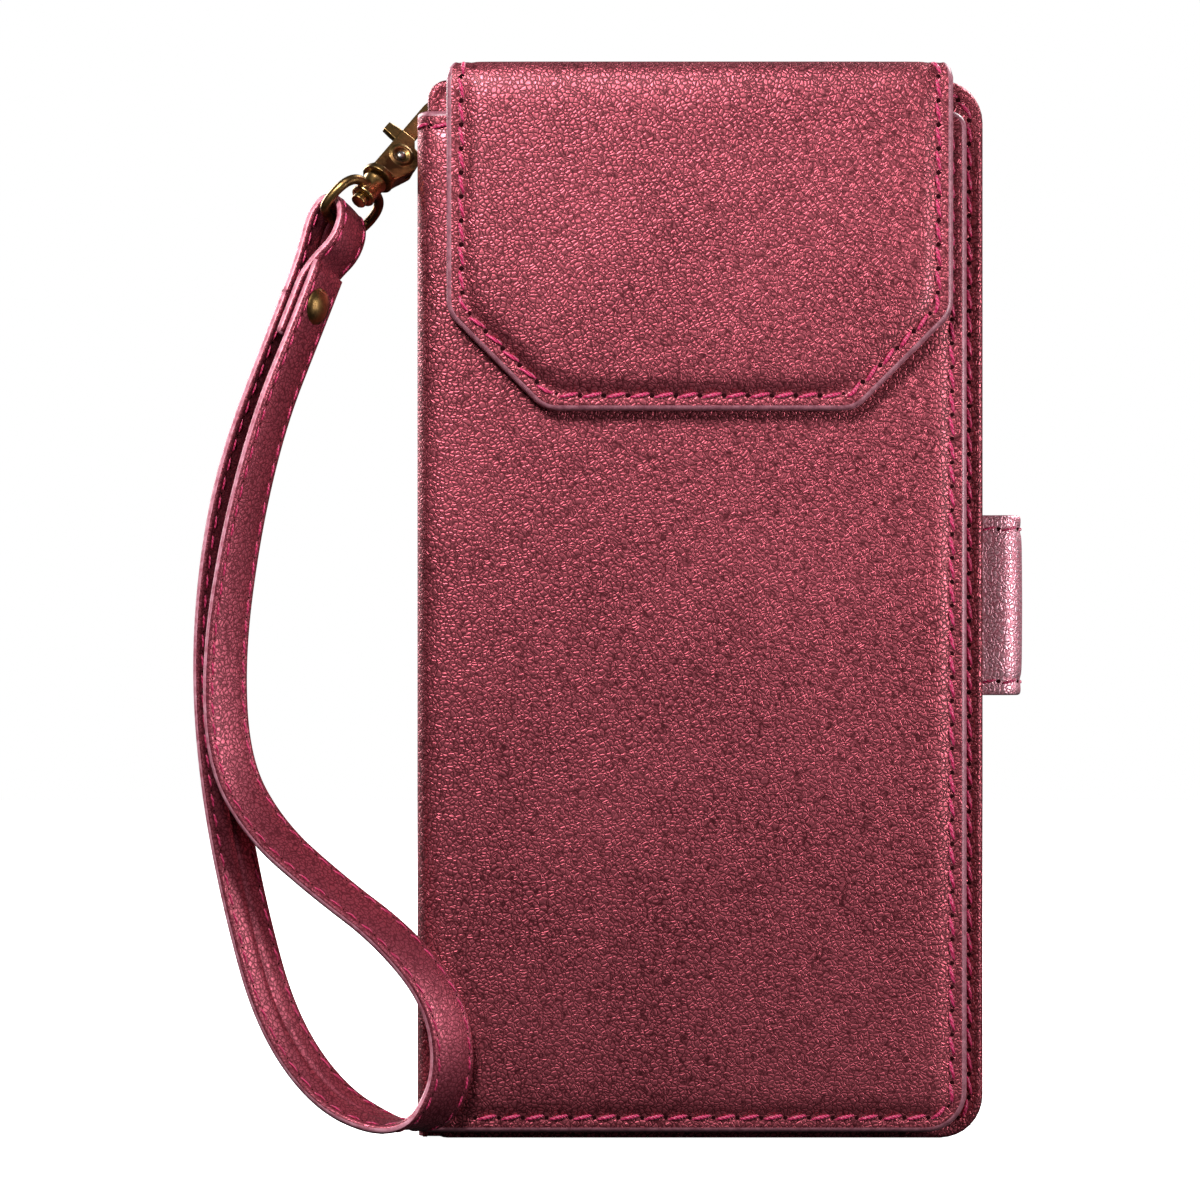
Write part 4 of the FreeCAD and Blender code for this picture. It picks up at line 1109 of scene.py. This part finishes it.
def strip(name, path, turned):
    """A flat strip with rounded edges along a path."""
    across, outward = strip_frames(path, turned)
    rings = []
    for spot, side, out in zip(path, across, outward):
        rings.append(np.array([spot + side * wide + out * high for wide, high in STRIP_SECTION]))
    points, faces, _ = ring_shell(rings)
    round_once = [1 if step in STRIP_EDGES else 0 for step in range(len(STRIP_SECTION))]
    marks = round_once * (len(rings) - 1) + [1, 1]
    # The cut edges take the edge paint with its painted highlight.
    thing = mesh_object(name, points, faces, [STRAP_LEATHER, STRAP_EDGE_PAINT_AND_HIGHLIGHT], marks)
    return thing, across, outward


STRAP_SEAM = dict(pitch=3.0, thick=0.19, slant=0.14, rise=0.13, hole=0.24)
STRAP_SEAM_START = 1.5
STRAP_SEAM_ACROSS, STRAP_SEAM_OUT = 2.95, 0.58


def strip_seams(name, path, across, outward):
    """Stitches along both edges of a strip, on both faces."""
    along = travelled(path)
    inside = (along >= STRAP_SEAM_START) & (along <= along[-1] - STRAP_SEAM_START)
    parts = []
    for edge in (-1, 1):
        for face in (-1, 1):
            run = path + across * (edge * STRAP_SEAM_ACROSS) + outward * (face * STRAP_SEAM_OUT)
            parts.append(seam(f"{name}_{edge}_{face}", run[inside], face * outward[inside], **STRAP_SEAM))
    return joined(name, parts)


# Points of the strap's line that lie closer than this to the one before are left out.
CLOSEST = 0.05
RIVET_DOME = [
    (0.0, 1.15), (0.7, 1.1), (1.5, 0.92), (2.2, 0.6), (2.65, 0.25), (2.8, 0.0), (2.7, -0.12), (0.0, -0.12)
]


def wrist_strap():
    """The strap's long stretch, its fold over the bail and the rivet through all layers."""
    path = nurbs_points(STRAP_ROUTE, 14)
    path = path[np.concatenate([[True], np.diff(travelled(path)) > CLOSEST])]
    along = travelled(path)
    length = along[-1]
    turned = smooth_step(along, 10.0, 75.0) * smooth_step(length - along, 6.0, 70.0)
    strap, across, outward = strip("strap_strip", path, turned)
    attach(strap, "strap")
    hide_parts("wrist_strap")
    long_rows = strip_seams("strap_stitches", path, across, outward)
    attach(long_rows, "strap")
    fold_path = nurbs_points(FOLD_ROUTE, 14)
    fold, fold_across, fold_outward = strip("strap_fold_strip", fold_path, np.zeros(len(fold_path)))
    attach(fold, "strap")
    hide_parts("strap_fold")
    fold_rows = strip_seams("strap_fold_stitches", fold_path, fold_across, fold_outward)
    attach(fold_rows, "strap")
    stack = LAYER_PITCH + STRAP_THIN
    for name, node, side in (("rivet_dome_near", "rivet_cap", -1), ("rivet_dome_far", "rivet_base", 1)):
        base = on_strap(RIVET_REACH, side * (stack + 0.02))
        dome = turned_piece(name, RIVET_DOME, base, STRAP_BACK * side, BRASS)
        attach(dome, "strap")
        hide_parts(node)


def turned_axes(axis):
    """The axis and two directions square to it, all of length one."""
    axis = unit(*axis)
    first = unit(*np.cross(axis, (0.3, 0.9, 0.2)))
    return axis, first, np.cross(axis, first)


def turned_piece(name, profile, base, axis, material, sides=40):
    """A turned piece: the profile's (radius, height) points go round the axis."""
    axis, first, second = turned_axes(axis)
    points, faces, rings = [], [], []
    for radius, height in profile:
        centre = base + axis * height
        if radius == 0:
            rings.append([len(points)] * sides)
            points.append(centre)
        else:
            rings.append(list(range(len(points), len(points) + sides)))
            points += [centre + first * radius * cos + second * radius * sin for cos, sin in around(sides)]
    for here, there in zip(rings, rings[1:]):
        for corner in range(sides):
            after = (corner + 1) % sides
            face = [here[corner], here[after], there[after], there[corner]]
            faces.append([spot for number, spot in enumerate(face) if spot not in face[:number]])
    thing = mesh_object(name, points, faces, [material])
    thing.data.set_sharp_from_angle(angle=math.radians(60))
    return thing


def turned_ring(name, profile, base, axis, sides=40):
    """A closed brass ring whose section is the profile."""
    axis, first, second = turned_axes(axis)
    rings = []
    for cos, sin in around(sides):
        out = first * cos + second * sin
        rings.append(np.array([base + axis * height + out * radius for radius, height in profile]))
    points, faces, _ = ring_shell(rings, closed_path=True)
    return mesh_object(name, points, faces, [BRASS])


# ---- hardware ----


def softened(name, node, voxel, rounds, extra=(), keep=True):
    """A CAD solid copied, merged with the extra pieces and smoothed like one casting. Without keep, the
    extra pieces stand for the solid."""
    work = bmesh.new()
    if keep:
        work.from_mesh(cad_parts[node].data)
    mesh = bpy.data.meshes.new(name)
    work.to_mesh(mesh)
    work.free()
    thing = bpy.data.objects.new(name, mesh)
    bpy.context.scene.collection.objects.link(thing)
    if extra:
        thing = joined(name, [thing, *extra])
    merge = thing.modifiers.new("merge", "REMESH")
    merge.mode = "VOXEL"
    merge.voxel_size = voxel * MM
    soften = thing.modifiers.new("soften", "SMOOTH")
    soften.iterations = rounds
    soften.factor = 0.5
    applied(thing)
    thing.data.materials.clear()
    thing.data.materials.append(BRASS)
    thing.data.polygons.foreach_set("use_smooth", [True] * len(thing.data.polygons))
    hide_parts(node)
    return thing


def tube(name, path, radius, sides=14):
    """A round wire along a closed path."""
    ways = np.roll(path, -1, axis=0) - np.roll(path, 1, axis=0)
    ways /= np.linalg.norm(ways, axis=1)[:, None]
    flat = unit(*np.cross(BAR_WAY, BAIL_DOWN))
    rings = []
    for middle, way in zip(path, ways):
        side = np.cross(way, flat)
        rings.append(np.array([middle + (flat * cos + side * sin) * radius for cos, sin in around(sides)]))
    points, faces, _ = ring_shell(rings, closed_path=True)
    return mesh_object(name, points, faces, [BRASS])


# Half of the bail's loop, from the eye to the bar: down and to the side.
BAIL_HALF = [(0.0, 0.0), (-0.2, 1.6), (0.1, 3.6), (1.3, 4.9), (3.2, 5.35), (5.2, 5.2), (6.8, 4.6), (7.2, 2.8)]
BAIL_BAR = (7.2, 0.0)
BAIL_THICK = 0.78
EYE_LOW = [(0.82, -2.0), (1.75, -2.0), (1.98, -1.7), (1.8, -1.2)]
EYE_PROFILE = EYE_LOW + [(1.72, 0.0)] + [(radius, -height) for radius, height in EYE_LOW[::-1]]


def bail_wire():
    """The bail's loop: a rounded stirrup through the eye that turns on the stud, and the bar in the strap's
    fold."""
    stations = BAIL_HALF + [BAIL_BAR] + [(down, -side) for down, side in BAIL_HALF[:0:-1]]
    corners = [BAIL_EYE + BAIL_DOWN * down + BAR_WAY * side for down, side in stations]
    wire = tube("bail_loop", nurbs_points(corners, 12, cyclic=True), BAIL_THICK)
    barrel = turned_ring("bail_eye", EYE_PROFILE, BAIL_EYE, CLASP_UP)
    return joined("bail_wire", [wire, barrel])


PIN_MIDDLE = COLLAR + CLASP_ACROSS * 0.5 + CLASP_UP * 4.7
PIN_REACH = 1.7
PIN_HEAD = [(0.0, 0.34), (0.35, 0.3), (0.62, 0.16), (0.72, 0.0)]
PIN_PROFILE = PIN_HEAD + [(radius, -2 * PIN_REACH - height) for radius, height in PIN_HEAD[::-1]]
BOSS_PROFILE = [(1.05, -0.3), (1.05, 0.12), (1.25, 0.26), (1.6, 0.26), (1.8, 0.1), (1.8, -0.3)]


def hardware():
    """Clasp, lever, pin, stud and bail."""
    boss = []
    for side in (-1, 1):
        base = PIN_MIDDLE + CLASP_FACE * (PIN_REACH * side)
        boss.append(turned_ring(f"boss_{side}", BOSS_PROFILE, base, CLASP_FACE * side))
    body = softened("clasp_casting", "clasp_body", 0.13, 4, boss)
    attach(body, "clasp")
    lever = softened("clasp_lever_casting", "clasp_lever", 0.13, 3)
    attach(lever, "lever")
    bail = softened("bail_casting", "bail", 0.16, 4, [bail_wire()], keep=False)
    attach(bail, "bail")
    stud = softened("stud_casting", "swivel_stud", 0.13, 3)
    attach(stud, "clasp")
    base = PIN_MIDDLE + CLASP_FACE * PIN_REACH
    steel = turned_piece("pin_steel_piece", PIN_PROFILE, base, CLASP_FACE, STEEL, 28)
    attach(steel, "clasp")
    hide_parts("clasp_pin")


def turned_ring(name, profile, base, axis, sides=40):
    """A closed ring whose section is the profile."""
    axis = unit(*axis)
    first = unit(*np.cross(axis, (0.3, 0.9, 0.2)))
    second = np.cross(axis, first)
    rings = []
    for corner in range(sides):
        angle = 2 * math.pi * corner / sides
        out = first * math.cos(angle) + second * math.sin(angle)
        rings.append(np.array([base + axis * height + out * radius for radius, height in profile]))
    points, faces, _ = ring_shell(rings, [0] * (sides + 2), closed_path=True)
    return mesh_object(name, points, faces, [BRASS])


# ---- CAD pieces that stay ----

KEPT = (
    (BOARD, ("back_board", "front_board", "spine_board")),
    (LINING, ("back_lining", "front_lining", "spine_lining", "bill_pocket", "flap_anchor")),
    (LEATHER, ("card_pocket_1", "card_pocket_2", "card_pocket_3", "ring_tab")),
    (LEATHER, ("pouch_gusset_right", "pouch_gusset_bottom")),
    (PLASTIC, ("phone_shell",)),
    (MAGNET, ("parking_magnet", "pouch_magnet", "closure_catch", "flap_magnet", "tip_magnet")),
    (BRASS, ("strap_ring",)),
    (STEEL, ("clasp_spring",)),
)


def kept_nodes():
    """Gives the CAD pieces that stay their materials."""
    for material, nodes in KEPT:
        for node in nodes:
            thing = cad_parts[node]
            thing.data.materials.clear()
            thing.data.materials.append(material)


# ---- stage ----


FLOOR_SIZE = 3.0
FLOOR_DROP = 0.0002
WORLD_LIGHT = 0.02
LIGHT_TARGET = Vector((-0.01, -0.02, 0.09))
# Each light's place and width in metres, and its watts.
LIGHTS = {
    "key": ((-0.16, -0.5, 0.6), 0.09, 2.0),
    "near": ((-0.12, -0.27, 0.3), 0.08, 0.98),
    "right": ((0.6, -0.5, 0.14), 0.2, 0.3),
    "edge": ((0.2, -0.16, 0.1), 0.06, 0.32),
    "rear_left": ((-0.7, 0.7, 0.5), 0.5, 12.0),
    "rear_right": ((0.55, 0.4, 0.75), 0.4, 10.0),
}


def add_stage():
    """A white floor, a world that looks white and lights the case faintly, and the soft lights."""
    bpy.ops.mesh.primitive_plane_add(size=FLOOR_SIZE, location=(0, 0, -FLOOR_DROP))
    floor = bpy.context.object
    floor.name = "floor"
    nodes = Nodes("floor_white")
    nodes.fixed(Base_Color=(0.9, 0.9, 0.9, 1), Roughness=0.9)
    nodes.fixed(Emission_Color=(1, 1, 1, 1), Emission_Strength=1.0)
    floor.data.materials.append(nodes.material)
    floor.visible_diffuse = floor.visible_glossy = False
    world = bpy.data.worlds.new("world")
    bpy.context.scene.world = world
    world.use_nodes = True
    tree = world.node_tree
    background = tree.nodes["Background"]
    background.inputs["Color"].default_value = (1, 1, 1, 1)
    rays = tree.nodes.new("ShaderNodeLightPath")
    strength = tree.nodes.new("ShaderNodeMapRange")
    tree.links.new(rays.outputs["Is Camera Ray"], strength.inputs[0])
    strength.inputs[3].default_value = WORLD_LIGHT
    strength.inputs[4].default_value = 1.0
    tree.links.new(strength.outputs[0], background.inputs["Strength"])
    for name, (place, wide, power) in LIGHTS.items():
        data = bpy.data.lights.new(name, "AREA")
        data.size = wide
        data.energy = power
        light = bpy.data.objects.new(name, data)
        bpy.context.scene.collection.objects.link(light)
        light.location = place
        light.visible_camera = False
        light.rotation_euler = (LIGHT_TARGET - light.location).to_track_quat("-Z", "Y").to_euler()
    bpy.context.scene.view_settings.view_transform = "Standard"


add_camera()
add_stage()
kept_nodes()
front_cover()
pocket_stitches()
back_cover()
spine_half("spine_rear_skin", BACK_LEVEL, "spine_leather")
spine_half("spine_front_skin", FRONT_LEVEL, None)
pouch()
flap()
flap_hinge()
closure_fold()
closure_tip()
wrist_strap()
hardware()
